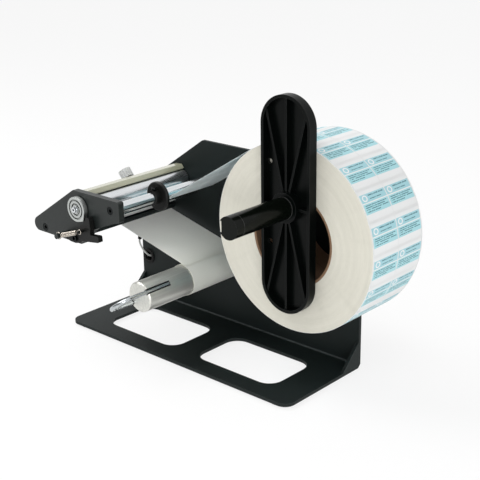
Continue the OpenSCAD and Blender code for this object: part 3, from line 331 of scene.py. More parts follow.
@dataclass(frozen=True)
class CoatedSteel(Finish):
    """Powder coat: fine grain, low gloss, edges a little paler, partly from wear and partly as a painted
    highlight.
    """

    color: Rgb
    # Colour of the broken edges, partly wear and partly a painted highlight
    worn_highlight: Rgb
    rough: float = 0.5
    shine: float = 0.25
    depth: float = 0.05 * MM

    # Waves in a metre of the shading, the grain and the worn edges with their painted highlight
    CLOUD, GRAIN, RUB = 22.0, 1500.0, 160.0
    # How much the shading shows, its dark end, and what grain and shading do to the roughness
    SHADING, DARKER, GRAIN_ROUGH, CLOUD_ROUGH = 0.5, 0.72, 0.16, -0.08

    def lay(self, paint: Paint) -> None:
        """Sets up the shader.

        Args:
            paint: Nodes of the material.
        """
        cloud, grain = paint.noise(self.CLOUD), paint.noise(self.GRAIN, 2.0)
        shade = paint.shades(cloud * self.SHADING, self.color, self.DARKER)
        # Broken edges turn paler where the noise lets them: partly wear, partly a painted highlight
        worn_highlight_mask = (paint.edges() * paint.noise(self.RUB)).limited()
        paint.set(Base_Color=paint.mix(worn_highlight_mask, shade, self.worn_highlight),
                  Roughness=self.rough + grain * self.GRAIN_ROUGH + cloud * self.CLOUD_ROUGH,
                  Specular_IOR_Level=self.shine)
        paint.bump(grain, self.depth)


@dataclass(frozen=True)
class BareMetal(Finish):
    """Polished, turned or drawn metal with faint marks in its gloss, and painted shade in its grooves."""

    color: Rgb
    rough: float = 0.12
    marks: float = 0.1
    grain: Grain = Grain.EVEN
    depth: float = 0.004 * MM
    axis: Point = (0.0, 0.0)
    spread: float = 0.86

    # Reach and darkness of the painted shade in grooves, and shares of the broad marks in the tone, the fine
    # in the relief
    GROOVE, DARK, BROAD_TONE, FINE_RELIEF = 3.0 * MM, 0.12, 0.7, 0.6
    # Waves in a metre of the fine and broad marks and the dull places
    FINE, BROAD, DULL = 2600.0, 420.0, 35.0

    def lay(self, paint: Paint) -> None:
        """Sets up the shader.

        Args:
            paint: Nodes of the material.
        """
        if self.grain is Grain.ROUND:
            dx, y, dz = paint.about(self.axis)
            where = paint.vector(dx.reach(dz), y, 0.0)
        else:
            where = paint.stretched(self.grain.value)
        fine, broad = paint.noise(self.FINE, 2.0, where), paint.noise(self.BROAD, where=where)
        tone = broad.blend(self.BROAD_TONE, paint.noise(self.DULL)).limited()
        shade = paint.shades(tone, self.color, self.spread)
        relief = fine.blend(self.FINE_RELIEF, broad)
        # Painted shade: the colour darkens in grooves and slots
        paint.set(Base_Color=paint.mix(paint.groove_shade(self.GROOVE), shade, shaded(self.color, self.DARK)),
                  Roughness=(self.rough + relief * self.marks).limited(), Metallic=1.0)
        paint.bump(relief, self.depth)


@dataclass(frozen=True)
class Moulded(Finish):
    """Moulded or machined plastic, and rubber where it is rough and dark."""

    color: Rgb
    rough: float = 0.38
    # Share of the pale broken edges, partly worn plastic and partly a painted highlight
    worn_highlight_share: float = 0.25
    scatter: float = 0.0
    coat: float = 0.0
    shine: float = 0.5

    PEEL, DEPTH, INSIDE = 0.03 * MM, 3.0 * MM, (1.0, 1.0, 0.9)
    # Waves in a metre of the shading and the skin
    CLOUD, SKIN = 30.0, 700.0
    # Roughness that shading and skin add, what is taken off it, and the roughness of a coat
    CLOUD_ROUGH, SKIN_ROUGH, SMOOTHER, COAT_ROUGH = 0.08, 0.1, 0.05, 0.12
    # White in the broken edges, partly worn plastic and partly a painted highlight, how much of them shows,
    # and the dark end of the shading
    PALE, EDGES, DARKER = 0.12, 0.7, 0.86

    def lay(self, paint: Paint) -> None:
        """Sets up the shader.

        Args:
            paint: Nodes of the material.
        """
        cloud, skin = paint.noise(self.CLOUD), paint.noise(self.SKIN, 2.0)
        # Pale broken edges: partly wear, partly a painted highlight
        light = [c + (1.0 - c) * self.PALE * self.worn_highlight_share for c in self.color]
        shade = paint.shades(cloud, self.color, self.DARKER)
        rough = self.rough + skin * self.SKIN_ROUGH + cloud * self.CLOUD_ROUGH - self.SMOOTHER
        paint.set(Base_Color=paint.mix(paint.edges() * self.EDGES, shade, light),
                  Roughness=rough.limited(), Specular_IOR_Level=self.shine)
        paint.bump(skin, self.PEEL)
        if self.scatter:
            paint.set(Subsurface_Weight=self.scatter, Subsurface_Scale=self.DEPTH,
                      Subsurface_Radius=self.INSIDE)
        if self.coat:
            paint.set(Coat_Weight=self.coat, Coat_Roughness=self.COAT_ROUGH)


@dataclass(frozen=True)
class Paper(Finish):
    """Glazed release paper: almost plain, with faint fibres and soft waves."""

    color: Rgb
    rough: float
    scatter: float
    shine: float = 0.5
    waves: float = 0.12 * MM

    DEPTH, INSIDE = 2.0 * MM, (1.0, 1.0, 1.0)
    # Waves in a metre of the fibres and of the paper's own waves, and the fibres' stretch
    FIBRE, WAVE, STRETCH = 1400.0, 26.0, (1.0, 0.25, 1.0)
    # The fibres' share of the tone and of the relief, their roughness, and the tone's dark end
    FIBRE_TONE, FIBRE_RELIEF, FIBRE_ROUGH, DARKER = 0.35, 0.2, 0.14, 0.9
    SHOWN = 0.5

    def lay(self, paint: Paint) -> None:
        """Sets up the shader.

        Args:
            paint: Nodes of the material.
        """
        wave = paint.noise(self.WAVE, 1.0)
        fibre = paint.noise(self.FIBRE, 4.0, paint.stretched(self.STRETCH))
        cloud = fibre.blend(self.FIBRE_TONE, wave).limited()
        paint.set(Base_Color=paint.shades(cloud, self.color, self.DARKER),
                  Roughness=(self.rough + (fibre - 0.5) * self.FIBRE_ROUGH).limited(),
                  Specular_IOR_Level=self.shine, Subsurface_Weight=self.scatter,
                  Subsurface_Scale=self.DEPTH, Subsurface_Radius=self.INSIDE)
        paint.bump(fibre.blend(self.FIBRE_RELIEF, wave), self.waves, self.SHOWN)


@dataclass(frozen=True)
class WoundPaper(Finish):
    """Cut edges of the wound labels, in fine rings about the roll's middle."""

    color: Rgb
    shade: Rgb
    axis: Point

    ROUGH, RELIEF, SHOWN, FINE_RELIEF = 0.62, 0.14 * MM, 0.7, 0.55
    # Waves in a metre of the rings, the bands, the smears and the streaks
    RING, BAND, SMEAR, STREAK = 3200.0, 260.0, 16.0, 7.0
    # Scales of radius, turn and depth in the rings and in the streaks
    RINGS, SPOKES = (1.0, 0.004, 0.1), (2.0, 0.6, 0.1)
    # Parts of rings, bands, smears and streaks in the tone, and what is taken off them
    TONE, PALER = (0.45, 0.45, 0.3, 0.2), 0.14
    # Where a streak starts and how fast it grows
    STREAK_START, STREAK_GAIN = 0.52, 3.5

    def lay(self, paint: Paint) -> None:
        """Sets up the shader.

        Args:
            paint: Nodes of the material.
        """
        dx, y, dz = paint.about(self.axis)
        polar = dx.reach(dz), dz.angle(dx), y
        rings, spokes = (paint.vector(*(part * scale for part, scale in zip(polar, scales)))
                         for scales in (self.RINGS, self.SPOKES))
        fine, bands = paint.noise(self.RING, where=rings), paint.noise(self.BAND, 2.0, rings)
        streak = (paint.noise(self.STREAK, where=spokes) - self.STREAK_START) * self.STREAK_GAIN
        marks = fine, bands, paint.noise(self.SMEAR), streak.limited()
        tone = sum((mark * share for mark, share in zip(marks, self.TONE)), -self.PALER).limited()
        paint.set(Base_Color=paint.mix(tone, self.color, self.shade), Roughness=self.ROUGH)
        paint.bump(fine.blend(self.FINE_RELIEF, bands), self.RELIEF, self.SHOWN)


@dataclass(frozen=True)
class Board(Finish):
    """Grey-brown cardboard of a core, with the seams of its wound plies."""

    color: Rgb
    dark: Rgb
    axis: Point

    ROUGH, RELIEF, SHOWN = 0.85, 0.1 * MM, 0.6
    # Pitch of the plies, width of a seam as a share of it, how dark it is, and height of the fibres
    PLY, SEAM, SEAM_DARK, HIGH = 75.0 * MM, 0.012, 0.6, 0.7
    # Waves in a metre of the fibres and the shading, and the fibres' stretch
    FIBRE, CLOUD, STRETCH = 900.0, 45.0, (1.0, 0.4, 1.0)

    def lay(self, paint: Paint) -> None:
        """Sets up the shader.

        Args:
            paint: Nodes of the material.
        """
        dx, y, dz = paint.about(self.axis)
        seam = (y / self.PLY + dz.angle(dx) / math.tau).fraction().within(0.0, self.SEAM)
        fibre = paint.noise(self.FIBRE, 4.0, paint.stretched(self.STRETCH))
        tone = (fibre.blend(0.5, paint.noise(self.CLOUD)) + seam * self.SEAM_DARK).limited()
        paint.set(Base_Color=paint.mix(tone, self.color, self.dark), Roughness=self.ROUGH)
        paint.bump((fibre - seam) * self.HIGH + (1.0 - self.HIGH), self.RELIEF, self.SHOWN)


@dataclass(frozen=True)
class PrintedLabel(Finish):
    """White label with a plain generic print: two blocks with rules, and a ring.

    Its map runs from 0 to 1 across the label and from 0 to 1 along it.
    """

    paper: Rgb
    block: Rgb
    pale: Rgb
    rule: Rgb

    # Left, right, bottom and top of the blocks and rules
    BLOCK: ClassVar[Rect] = (0.0, 1.0, 0.6, 0.88)
    STRIP: ClassVar[Rect] = (0.0, 1.0, 0.22, 0.56)
    RULES: ClassVar[tuple[Rect, ...]] = (
        (0.32, 0.93, 0.79, 0.83), (0.32, 0.8, 0.67, 0.7), (0.06, 0.92, 0.485, 0.515),
        (0.06, 0.84, 0.42, 0.45), (0.06, 0.95, 0.355, 0.385), (0.06, 0.6, 0.28, 0.31))
    # Middle of the ring, its hole and its edge, and how flat it lies
    RING_U, RING_V, RING_IN, RING_OUT, RING_FLAT = 0.16, 0.74, 0.062, 0.1, 0.9
    # Scales across and along of the breaks in the rules, their noise, and where a break starts
    WORDS, LINES, BREAKS, BREAK_START = 46.0, 18.4, 0.55, 0.42
    # Waves in a metre of the paper's fibres and waves
    FIBRE, WAVE = 1500.0, 30.0
    # Roughness, what print and fibres add to it, how strongly rules print, and the paper's dark end
    ROUGH, PRINT_ROUGH, FIBRE_ROUGH, INK, DARKER = 0.4, -0.08, 0.1, 0.9, 0.93
    RELIEF = 0.02 * MM

    def lay(self, paint: Paint) -> None:
        """Sets up the shader.

        Args:
            paint: Nodes of the material.
        """
        u, v, _ = paint.parts(paint.place(Paint.UV))
        block, strip, *lines = (u.within(*rect[:2]) * v.within(*rect[2:])
                                for rect in (self.BLOCK, self.STRIP, *self.RULES))
        words = paint.vector(u * self.WORDS, v * self.LINES, 0.0)
        rules = sum(lines[1:], lines[0]) * (paint.noise(self.BREAKS, 1.0, words) > self.BREAK_START)
        reach = (u - self.RING_U).reach((v - self.RING_V) * self.RING_FLAT)
        ring = reach.within(self.RING_IN, self.RING_OUT)
        fibre = paint.noise(self.FIBRE)
        cloud = fibre.blend(0.5, paint.noise(self.WAVE, 1.0)).limited()
        tone = paint.shades(cloud, self.paper, self.DARKER)
        for share, color in ((strip, self.pale), (block, self.block),
                             ((rules * self.INK).limited(), self.rule), (ring, self.paper)):
            tone = paint.mix(share, tone, color)
        rough = self.ROUGH + (block + strip) * self.PRINT_ROUGH + fibre * self.FIBRE_ROUGH
        paint.set(Base_Color=tone, Roughness=rough.limited())
        paint.bump(fibre, self.RELIEF)


class Shape:
    """A mesh in the making, in the machine's frame."""

    EDGE: ClassVar[str] = "broken_edge"
    MERGE: ClassVar[float] = 0.000002
    FLAT: ClassVar[float] = math.radians(0.4)

    def __init__(self) -> None:
        """Starts empty."""
        self.bm = bmesh.new()

    @classmethod
    def copy_of(cls, node: str) -> Shape:
        """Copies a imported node, its corners merged and its flat faces joined.

        Args:
            node: Name of the node.

        Returns:
            The copy.
        """
        shape = cls()
        shape.bm.from_mesh(bpy.data.objects[node].data)
        bm = shape.merged().bm
        bmesh.ops.dissolve_limit(bm, angle_limit=cls.FLAT, verts=bm.verts, edges=bm.edges)
        return shape

    def merged(self) -> Shape:
        """Joins corners that share a place."""
        bmesh.ops.remove_doubles(self.bm, verts=self.bm.verts, dist=self.MERGE)
        return self

    def outward(self) -> Shape:
        """Turns all faces outwards."""
        bmesh.ops.recalc_face_normals(self.bm, faces=self.bm.faces)
        return self

    def take(self, part: Shape) -> None:
        """Adds another shape, which ends with this.

        Args:
            part: The other shape.
        """
        mesh = bpy.data.meshes.new("part")
        part.bm.to_mesh(mesh)
        part.bm.free()
        self.bm.from_mesh(mesh)
        bpy.data.meshes.remove(mesh)

    def break_edges(self, width: float, segments: int = 2, angle: float = 32.0,
                    only: Callable[[bmesh.types.BMEdge], bool] | None = None,
                    hollow: bool = False) -> Shape:
        """Rounds the outer edges that are sharper than an angle.

        Args:
            width: Width of the round in metres.
            segments: Faces across it.
            angle: Least turn of an edge in degrees.
            only: Test that an edge has to pass, if any.
            hollow: Whether inner corners are rounded too.

        Returns:
            This shape.
        """
        layers = self.bm.faces.layers.float
        layer = layers.get(self.EDGE) or layers.new(self.EDGE)
        least = math.radians(angle)
        edges = [e for e in self.bm.edges if len(e.link_faces) == 2 and (e.is_convex or hollow)
                 and e.calc_face_angle(0.0) > least and (only is None or only(e))]
        made = bmesh.ops.bevel(self.bm, geom=edges, offset=width, segments=segments, profile=0.5,
                               affect="EDGES", clamp_overlap=True, material=-1)
        for face in made["faces"]:
            face[layer] = 1.0
        return self

    def turned(self, profile: Sequence[Point], axis: Point, steps: int = 96) -> Shape:
        """Turns a closed profile about a line along the machine's depth.

        Args:
            profile: Points of (radius, y), in order round the section.
            axis: Place of the line, (x, z).
            steps: Facets round.

        Returns:
            This shape.
        """
        new = self.bm.verts.new
        ring = [new((axis[0] + r, y, axis[1])) for r, y in profile]
        edges = [self.bm.edges.new(pair) for pair in zip(ring, ring[1:] + ring[:1])]
        bmesh.ops.spin(self.bm, geom=ring + edges, cent=(axis[0], 0.0, axis[1]), axis=(0.0, 1.0, 0.0),
                       angle=math.tau, steps=steps, use_merge=True, use_duplicate=False)
        return self.merged().outward()

    def ribbon(self, line: Sequence[Point], room: Span, thickness: float, cuts: int = 4) -> Shape:
        """Draws a strip of paper out of its line in the side plane.

        Args:
            line: Points of (x, z).
            room: Span whose width along y it takes.
            thickness: Thickness, centred on the line.
            cuts: Pieces across the width.

        Returns:
            This shape.
        """
        row = [self.bm.verts.new((x, room.lo.y, z)) for x, z in line]
        edges = [self.bm.edges.new(pair) for pair in zip(row, row[1:])]
        for _ in range(cuts):
            made = bmesh.ops.extrude_edge_only(self.bm, edges=edges)["geom"]
            verts = [g for g in made if isinstance(g, bmesh.types.BMVert)]
            edges = [g for g in made if isinstance(g, bmesh.types.BMEdge)]
            bmesh.ops.translate(self.bm, vec=(0.0, room.width / cuts, 0.0), verts=verts)
        bmesh.ops.solidify(self.bm, geom=self.outward().bm.faces, thickness=thickness / 2)
        return self.outward()

    def mesh(self, name: str, smooth: float = HARD) -> bpy.types.Mesh:
        """Finishes the mesh.

        Args:
            name: Name of the mesh.
            smooth: Least turn in degrees that stays a sharp edge.

        Returns:
            The mesh.
        """
        mesh = bpy.data.meshes.new(name)
        self.bm.to_mesh(mesh)
        self.bm.free()
        if "custom_normal" in mesh.attributes:
            mesh.attributes.remove(mesh.attributes["custom_normal"])
        mesh.shade_smooth()
        mesh.set_sharp_from_angle(angle=math.radians(smooth))
        return mesh


@dataclass(frozen=True)
class Span:
    """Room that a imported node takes."""

    lo: Vector
    hi: Vector

    @classmethod
    def of(cls, node: str) -> Span:
        """Reads the room of a node."""
        return cls(*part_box(node))

    @property
    def mid(self) -> Vector:
        """Middle of the room."""
        return (self.lo + self.hi) / 2

    @property
    def axis(self) -> Point:
        """Middle in the side plane, (x, z)."""
        return (self.mid.x, self.mid.z)

    @property
    def width(self) -> float:
        """Extent along the machine's depth."""
        return self.hi.y - self.lo.y

    @property
    def radius(self) -> float:
        """Half the height, the radius of a round piece."""
        return (self.hi.z - self.lo.z) / 2


class Workshop:
    """Gives each piece its finish and its body."""

    def __init__(self, frame: Mapping[str, Any], finishes: Mapping[str, Finish]) -> None:
        """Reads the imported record.

        Args:
            frame: What the frame's loading gave.
            finishes: Finish of each material slot.
        """
        record = frame["record"]
        self.slot_of = {part["node"]: part["material_slot"] for part in record["subparts"]}
        bodies = record["behaviour"]["bodies"]
        self.body_of = {node: body for body, nodes in bodies.items() for node in nodes}
        self.materials = {slot: finish.material(slot) for slot, finish in finishes.items()}
        for node, thing in frame["nodes"].items():
            thing.data.materials.clear()
            thing.data.materials.append(self.materials[self.slot_of[node]])

    def add(self, mesh: bpy.types.Mesh, name: str, slot: str, nodes: Sequence[str] = (),
            body: str | None = None, finish: str | None = None) -> bpy.types.Object:
        """Places a finished piece.

        Args:
            mesh: Its mesh, in the machine's frame.
            name: Its name.
            slot: Material slot that it belongs to.
            nodes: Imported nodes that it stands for.
            body: Body that it rides on, that of its first node if left out. An empty name
                leaves the piece free, for a blend.
            finish: Material that it wears, if not the slot's own.

        Returns:
            The piece.
        """
        piece = bpy.data.objects.new(name, mesh)
        bpy.context.scene.collection.objects.link(piece)
        mesh.materials.clear()
        mesh.materials.append(self.materials[finish or slot])
        piece.modifiers.new("level_faces", "WEIGHTED_NORMAL").keep_sharp = True
        if body is None:
            body = self.body_of[nodes[0]]
        if body:
            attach(piece, body)
        if nodes:
            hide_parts(*nodes)
        LOG.info("%s: %d faces, on %s", name, len(mesh.polygons), body or "two bodies")
        return piece

    def dress(self, width: float, *nodes: str, faces: int = 2, finish: str | None = None,
              shape: Shape | None = None) -> None:
        """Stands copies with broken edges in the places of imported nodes.

        Args:
            width: Width of the broken edges in metres.
            nodes: The nodes.
            faces: Faces across an edge.
            finish: Material that they wear, if not their slot's own.
            shape: The copy, if some of its edges are rounded already.
        """
        for node in nodes:
            copy = (shape or Shape.copy_of(node)).break_edges(width, faces)
            name = f"{node}_dressed"
            self.add(copy.mesh(name), name, self.slot_of[node], [node], finish=finish)


def tube(points: Sequence[Vector], diameter: float, name: str) -> bpy.types.Mesh:
    """Sweeps a round wire or lead along a line.

    Args:
        points: Points of its middle line.
        diameter: Its diameter.
        name: Name of the mesh.

    Returns:
        The mesh.
    """
    curve = bpy.data.curves.new(name, "CURVE")
    curve.dimensions = "3D"
    curve.bevel_depth = diameter / 2
    curve.bevel_resolution = TUBE_ROUND
    curve.use_fill_caps = True
    spline = curve.splines.new("POLY")
    spline.points.add(len(points) - 1)
    for knot, point in zip(spline.points, points):
        knot.co = (*point, 1.0)
    holder = bpy.data.objects.new(name, curve)
    bpy.context.scene.collection.objects.link(holder)
    graph = bpy.context.evaluated_depsgraph_get()
    shape = Shape()
    shape.bm.from_mesh(bpy.data.meshes.new_from_object(holder.evaluated_get(graph)))
    bpy.data.objects.remove(holder)
    return shape.merged().outward().mesh(name, SOFT)


def curved(points: Sequence[Vector], steps: int) -> list[Vector]:
    """Smooth line through points.

    Args:
        points: Points that it passes.
        steps: Pieces between two of them.

    Returns:
        Points of the line.
    """
    line: list[Vector] = []
    last = len(points) - 1
    for i in range(last):
        a, b, c, d = (points[max(0, min(last, i + k))] for k in (-1, 0, 1, 2))
        for k in range(steps):
            t = k / steps
            line.append(0.5 * (2 * b + (c - a) * t + (2 * a - 5 * b + 4 * c - d) * t ** 2
                               + (3 * b - a - 3 * c + d) * t ** 3))
    return line + [points[last]]


@dataclass(frozen=True)
class Guide:
    """Circle that a web runs round, its radius positive where it lies at the left of the way."""

    x: float
    z: float
    radius: float

    @property
    def mid(self) -> Vector:
        """Middle of the circle."""
        return Vector((self.x, self.z))


class BeltLine:
    """Way of a web over its guides, measured from its start."""

    STEP: ClassVar[float] = math.radians(5.0)
    STRAIGHT: ClassVar[float] = 4.0 * MM
    SAME: ClassVar[float] = 0.0001 * MM

    def __init__(self, guides: Sequence[Guide]) -> None:
        """Works out the way.

        Args:
            guides: Circles in the order of the way.
        """
        ways = [self._heading(a, b) for a, b in zip(guides, guides[1:])]
        self.points: list[Vector] = []
        for i, guide in enumerate(guides):
            start, end = ways[max(i - 1, 0)], ways[min(i, len(ways) - 1)]
            turn = (end - start + math.pi) % math.tau - math.pi
            steps = max(1, math.ceil(abs(turn) / self.STEP))
            arc = [guide.mid + guide.radius * Vector((math.sin(a), -math.cos(a)))
                   for a in (start + turn * k / steps for k in range(steps + 1))]
            if self.points:
                self._fill(arc[0])
            self.points += arc
        self.points = [p for p, q in zip(self.points, self.points[1:])
                       if (q - p).length > self.SAME] + self.points[-1:]
        self.lengths = [0.0]
        for p, q in zip(self.points, self.points[1:]):
            self.lengths.append(self.lengths[-1] + (q - p).length)

    @staticmethod
    def _heading(a: Guide, b: Guide) -> float:
        """Angle of the straight run between two guides."""
        run = b.mid - a.mid
        return math.atan2(run.y, run.x) - math.asin((b.radius - a.radius) / run.length)

    def _fill(self, end: Vector) -> None:
        """Adds points along the straight run up to a point.

        Args:
            end: The point.
        """
        start = self.points[-1]
        count = int((end - start).length / self.STRAIGHT)
        self.points += [start.lerp(end, k / (count + 1)) for k in range(1, count + 1)]

    @property
    def length(self) -> float:
        """Whole length of the way."""
        return self.lengths[-1]

    def at(self, along: float, lift: float) -> Point:
        """Point of the way.

        Args:
            along: Length from the start.
            lift: Distance to the right of the way, where the labels are.

        Returns:
            The point, (x, z).
        """
        along = min(max(along, 0.0), self.length)
        i = next((k for k, s in enumerate(self.lengths[1:]) if s >= along), len(self.lengths) - 2)
        p, q = self.points[i], self.points[i + 1]
        share = (along - self.lengths[i]) / (self.lengths[i + 1] - self.lengths[i])
        way = (q - p).normalized()
        point = p.lerp(q, share) + Vector((way.y, -way.x)) * lift
        return (point.x, point.y)


@dataclass
class Unit:
    """Sub-assembly that is built in a workshop."""

    shop: Workshop


@dataclass
class FrameShell(Unit):
    """Bent base and panel, their corner triangles, feet and screws, and the rear cover."""

    bend_outside: float = 3.2 * MM
    bend_inside: float = 1.4 * MM
    bend_faces: int = 5
    edge: float = 0.55 * MM
    small: float = 0.3 * MM
    slack: float = 0.01 * MM

    def build(self) -> None:
        """Builds the pieces."""
        self.sheet()
        self.shop.dress(self.edge, "rubber_feet")
        self.shop.dress(self.small, "corner_gussets", "rear_cover", "panel_screws", "cover_screws",
                        "cable_grommet")

    def sheet(self) -> None:
        """Base and panel as one bent sheet with a rounded bend."""
        panel = Span.of("main_frame")
        floor = panel.lo.z
        face = Span.of("upper_guide_bar").hi.y
        thick = panel.hi.y - face
        shape = Shape.copy_of("main_frame")

        def along_bend(edge: bmesh.types.BMEdge, y: float, z: float) -> bool:
            """Whether an edge runs along the bend at that depth and height."""
            return all(max(abs(v.co.y - y), abs(v.co.z - z)) < self.slack for v in edge.verts)

        shape.break_edges(self.bend_outside, self.bend_faces,
                          only=lambda e: along_bend(e, panel.hi.y, floor))
        shape.break_edges(self.bend_inside, self.bend_faces, hollow=True,
                          only=lambda e: along_bend(e, face, floor + thick))
        self.shop.dress(self.edge, "main_frame", shape=shape)


@dataclass
class PeelingHead(Unit):
    """Front plate, rods, pressure roller, bars and the peeling sheet."""

    plate_edge: float = 0.6 * MM
    rod_edge: float = 0.4 * MM
    small: float = 0.2 * MM

    def build(self) -> None:
        """Builds the pieces."""
        self.shop.dress(self.plate_edge, "front_plate", faces=ROUND_FACES)
        self.shop.dress(self.small, "disc_screw", faces=ROUND_FACES, finish="chrome")
        self.shop.dress(self.rod_edge, "roller_disc", finish="disc_metal")
        self.shop.dress(self.rod_edge, "pressure_roller", finish="satin")
        self.shop.dress(self.rod_edge, "upper_guide_bar", "lower_guide_rod", "tip_rod", "sensor_rod",
                        "roller_shaft", "stripper_bar", "liner_guide", "edge_guide")
        self.shop.dress(self.small, "plate_screws", "roller_bushes", "peel_plate", "guide_screw")


@dataclass
class ReleaseLever(Unit):
    """Hand lever with its pivot, post and tension spring."""

    wire: float = 0.75 * MM
    spring_d: float = 4.6 * MM
    post: Point = (42.2, 109.1)
    stud: Point = (71.9, 119.0)
    stud_r: float = 1.2 * MM
    curls: int = 16
    rings: int = 16
    lead: float = 3.0 * MM
    loop_play: float = 0.3 * MM
    edge: float = 0.7 * MM
    small: float = 0.25 * MM

    # Where a hook ends, how far it runs, its pieces, and the neck's share of the way to the first curl
    HOOK_END, HOOK_SWEEP, HOOK_STEPS, NECK = math.radians(35.0), math.radians(290.0), 22, 0.9

    def build(self) -> None:
        """Builds the pieces."""
        self.shop.dress(self.edge, "release_lever", faces=ROUND_FACES)
        self.shop.dress(self.small, "spring_post", "pivot_screw")
        self.spring()

    def spring(self) -> None:
        """Tension spring with a loop round the post and one round the lever's stud."""
        post = Span.of("spring_post")
        start = Vector((post.mid.x, Span.of("lever_spring").mid.y, post.mid.z))
        run = Vector((self.stud[0] - self.post[0], 0.0, self.stud[1] - self.post[1])) * MM
        way, end = run.normalized(), start + run
        depth = Vector((0.0, 1.0, 0.0))
        up = depth.cross(way)
        coil_r = (self.spring_d - self.wire) / 2
        first = post.radius + self.lead
        last = run.length - self.stud_r - self.lead
        line = self._hook(start, way, up, post.radius)
        turns = self.curls * self.rings
        for k in range(turns + 1):
            angle = math.tau * k / self.rings
            along = first + (last - first) * k / turns
            line.append(start + way * along + coil_r * (math.cos(angle) * depth + math.sin(angle) * up))
        line += self._hook(end, -way, up, self.stud_r)[::-1]
        mesh = tube(line, self.wire, "tension_spring")
        piece = self.shop.add(mesh, "tension_spring", "chrome", ["lever_spring"], body="",
                              finish="nickel")
        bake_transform(piece, "frame", "lever", start, end)

    def _hook(self, centre: Vector, way: Vector, up: Vector, pin_r: float) -> list[Vector]:
        """Hook round a pin, then the straight wire to the first curl.

        Args:
            centre: Middle of the pin.
            way: Direction of the spring.
            up: Direction across it, in the lever's plane.
            pin_r: Radius of the pin.

        Returns:
            Points from the hook's end to the curl.
        """
        radius = pin_r + self.wire / 2 + self.loop_play
        hook = []
        for k in range(self.HOOK_STEPS + 1):
            angle = self.HOOK_SWEEP * (1.0 - k / self.HOOK_STEPS) + self.HOOK_END
            hook.append(centre + radius * (math.cos(angle) * way + math.sin(angle) * up))
        return hook + [centre + way * ((pin_r + self.lead) * self.NECK)]


@dataclass
class SensorUnit(Unit):
    """Label sensor with its windows and nylon thumb screw, and the lead to the board."""

    cable_d: float = 1.8 * MM
    edge: float = 0.6 * MM
    small: float = 0.25 * MM
    steps: int = 6
    bend_from: Place = (32.4, 97.4, 121.8)

    # Route of the lead in millimetres from the base's corner, as the model's source has it
    ROUTE: ClassVar[tuple[Place, ...]] = (
        (36, 54, 132), (36, 58, 132), (36, 66, 131.8), (36, 76, 131.2), (36, 85, 130.2),
        (35.8, 91.5, 128.9), (34.6, 96, 126.6), (32.4, 97.4, 121.8), (29.6, 97.3, 115),
        (26, 97.2, 106), (20.6, 96.2, 95), (14, 94.5, 84.4), (8.4, 93.2, 75.6), (5.5, 92.4, 69),
        (3, 92, 61), (4.2, 92, 56), (7.4, 92.6, 51), (10.4, 94.4, 47), (11.6, 97, 44.4),
        (11.8, 100.5, 43.8), (11.9, 104, 43.8), (12.6, 107, 44), (14.6, 109, 44.4), (17, 110.8, 45))

    def build(self) -> None:
        """Builds the pieces."""
        self.shop.dress(self.edge, "sensor_block", "clamp_knob", faces=ROUND_FACES)
        self.shop.dress(self.small, "sensor_lens", "cable_sleeve")
        self.lead()

    def lead(self) -> None:
        """Lead that is held at the sensor and in the grommet."""
        frame = Span.of("main_frame")
        corner = Vector((Span.of("corner_gussets").lo.x, frame.lo.y, frame.lo.z))
        knots = [corner + Vector(p) * MM for p in self.ROUTE]
        mesh = tube(curved(knots, self.steps), self.cable_d, "sensor_lead")
        piece = self.shop.add(mesh, "sensor_lead", "cable_grey", ["sensor_cable"], body="")
        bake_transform(piece, "frame", "sensor", corner + Vector(self.bend_from) * MM, knots[0])


@dataclass
class RewindUnit(Unit):
    """Grooved mandrel with its wire clip and the first turns of backing paper."""

    edge: float = 0.5 * MM
    small: float = 0.2 * MM
    turns: int = 4
    sheet: float = 0.13 * MM
    steps: int = 72
    cuts: int = 2

    def build(self) -> None:
        """Builds the pieces."""
        self.shop.dress(self.edge, "rewind_mandrel", "mandrel_shaft")
        self.shop.dress(self.small, "liner_clip", finish="clip_steel")
        self.winding()

    def winding(self) -> None:
        """First turns of the backing paper as one spiral strip."""
        room = Span.of("wound_liner")
        inner = Span.of("rewind_mandrel").radius + self.sheet
        outer = room.radius - self.sheet / 2
        count = self.turns * self.steps
        line = []
        for k in range(count + 1):
            angle = math.tau * k / self.steps
            radius = inner + (outer - inner) * k / count
            line.append((room.mid.x + radius * math.cos(angle), room.mid.z + radius * math.sin(angle)))
        mesh = Shape().ribbon(line, room, self.sheet, self.cuts).mesh("wound_backing", SOFT)
        self.shop.add(mesh, "wound_backing", "liner_paper", ["wound_liner"])


@dataclass
class SpindleUnit(Unit):
    """Spindle tube, its cap and collar, and the ribbed retaining flange."""

    edge: float = 0.7 * MM
    flange_edge: float = 0.45 * MM
    small: float = 0.3 * MM

    def build(self) -> None:
        """Builds the pieces."""
        self.shop.dress(self.edge, "spindle_cap", faces=ROUND_FACES, finish="tube_black")
        self.shop.dress(self.flange_edge, "paddle_flange", faces=ROUND_FACES, finish="flange_black")
        self.shop.dress(self.small, "spindle_tube", finish="tube_black")
        self.shop.dress(self.edge, "spindle_collar")
        self.shop.dress(self.small, "spindle_screw")


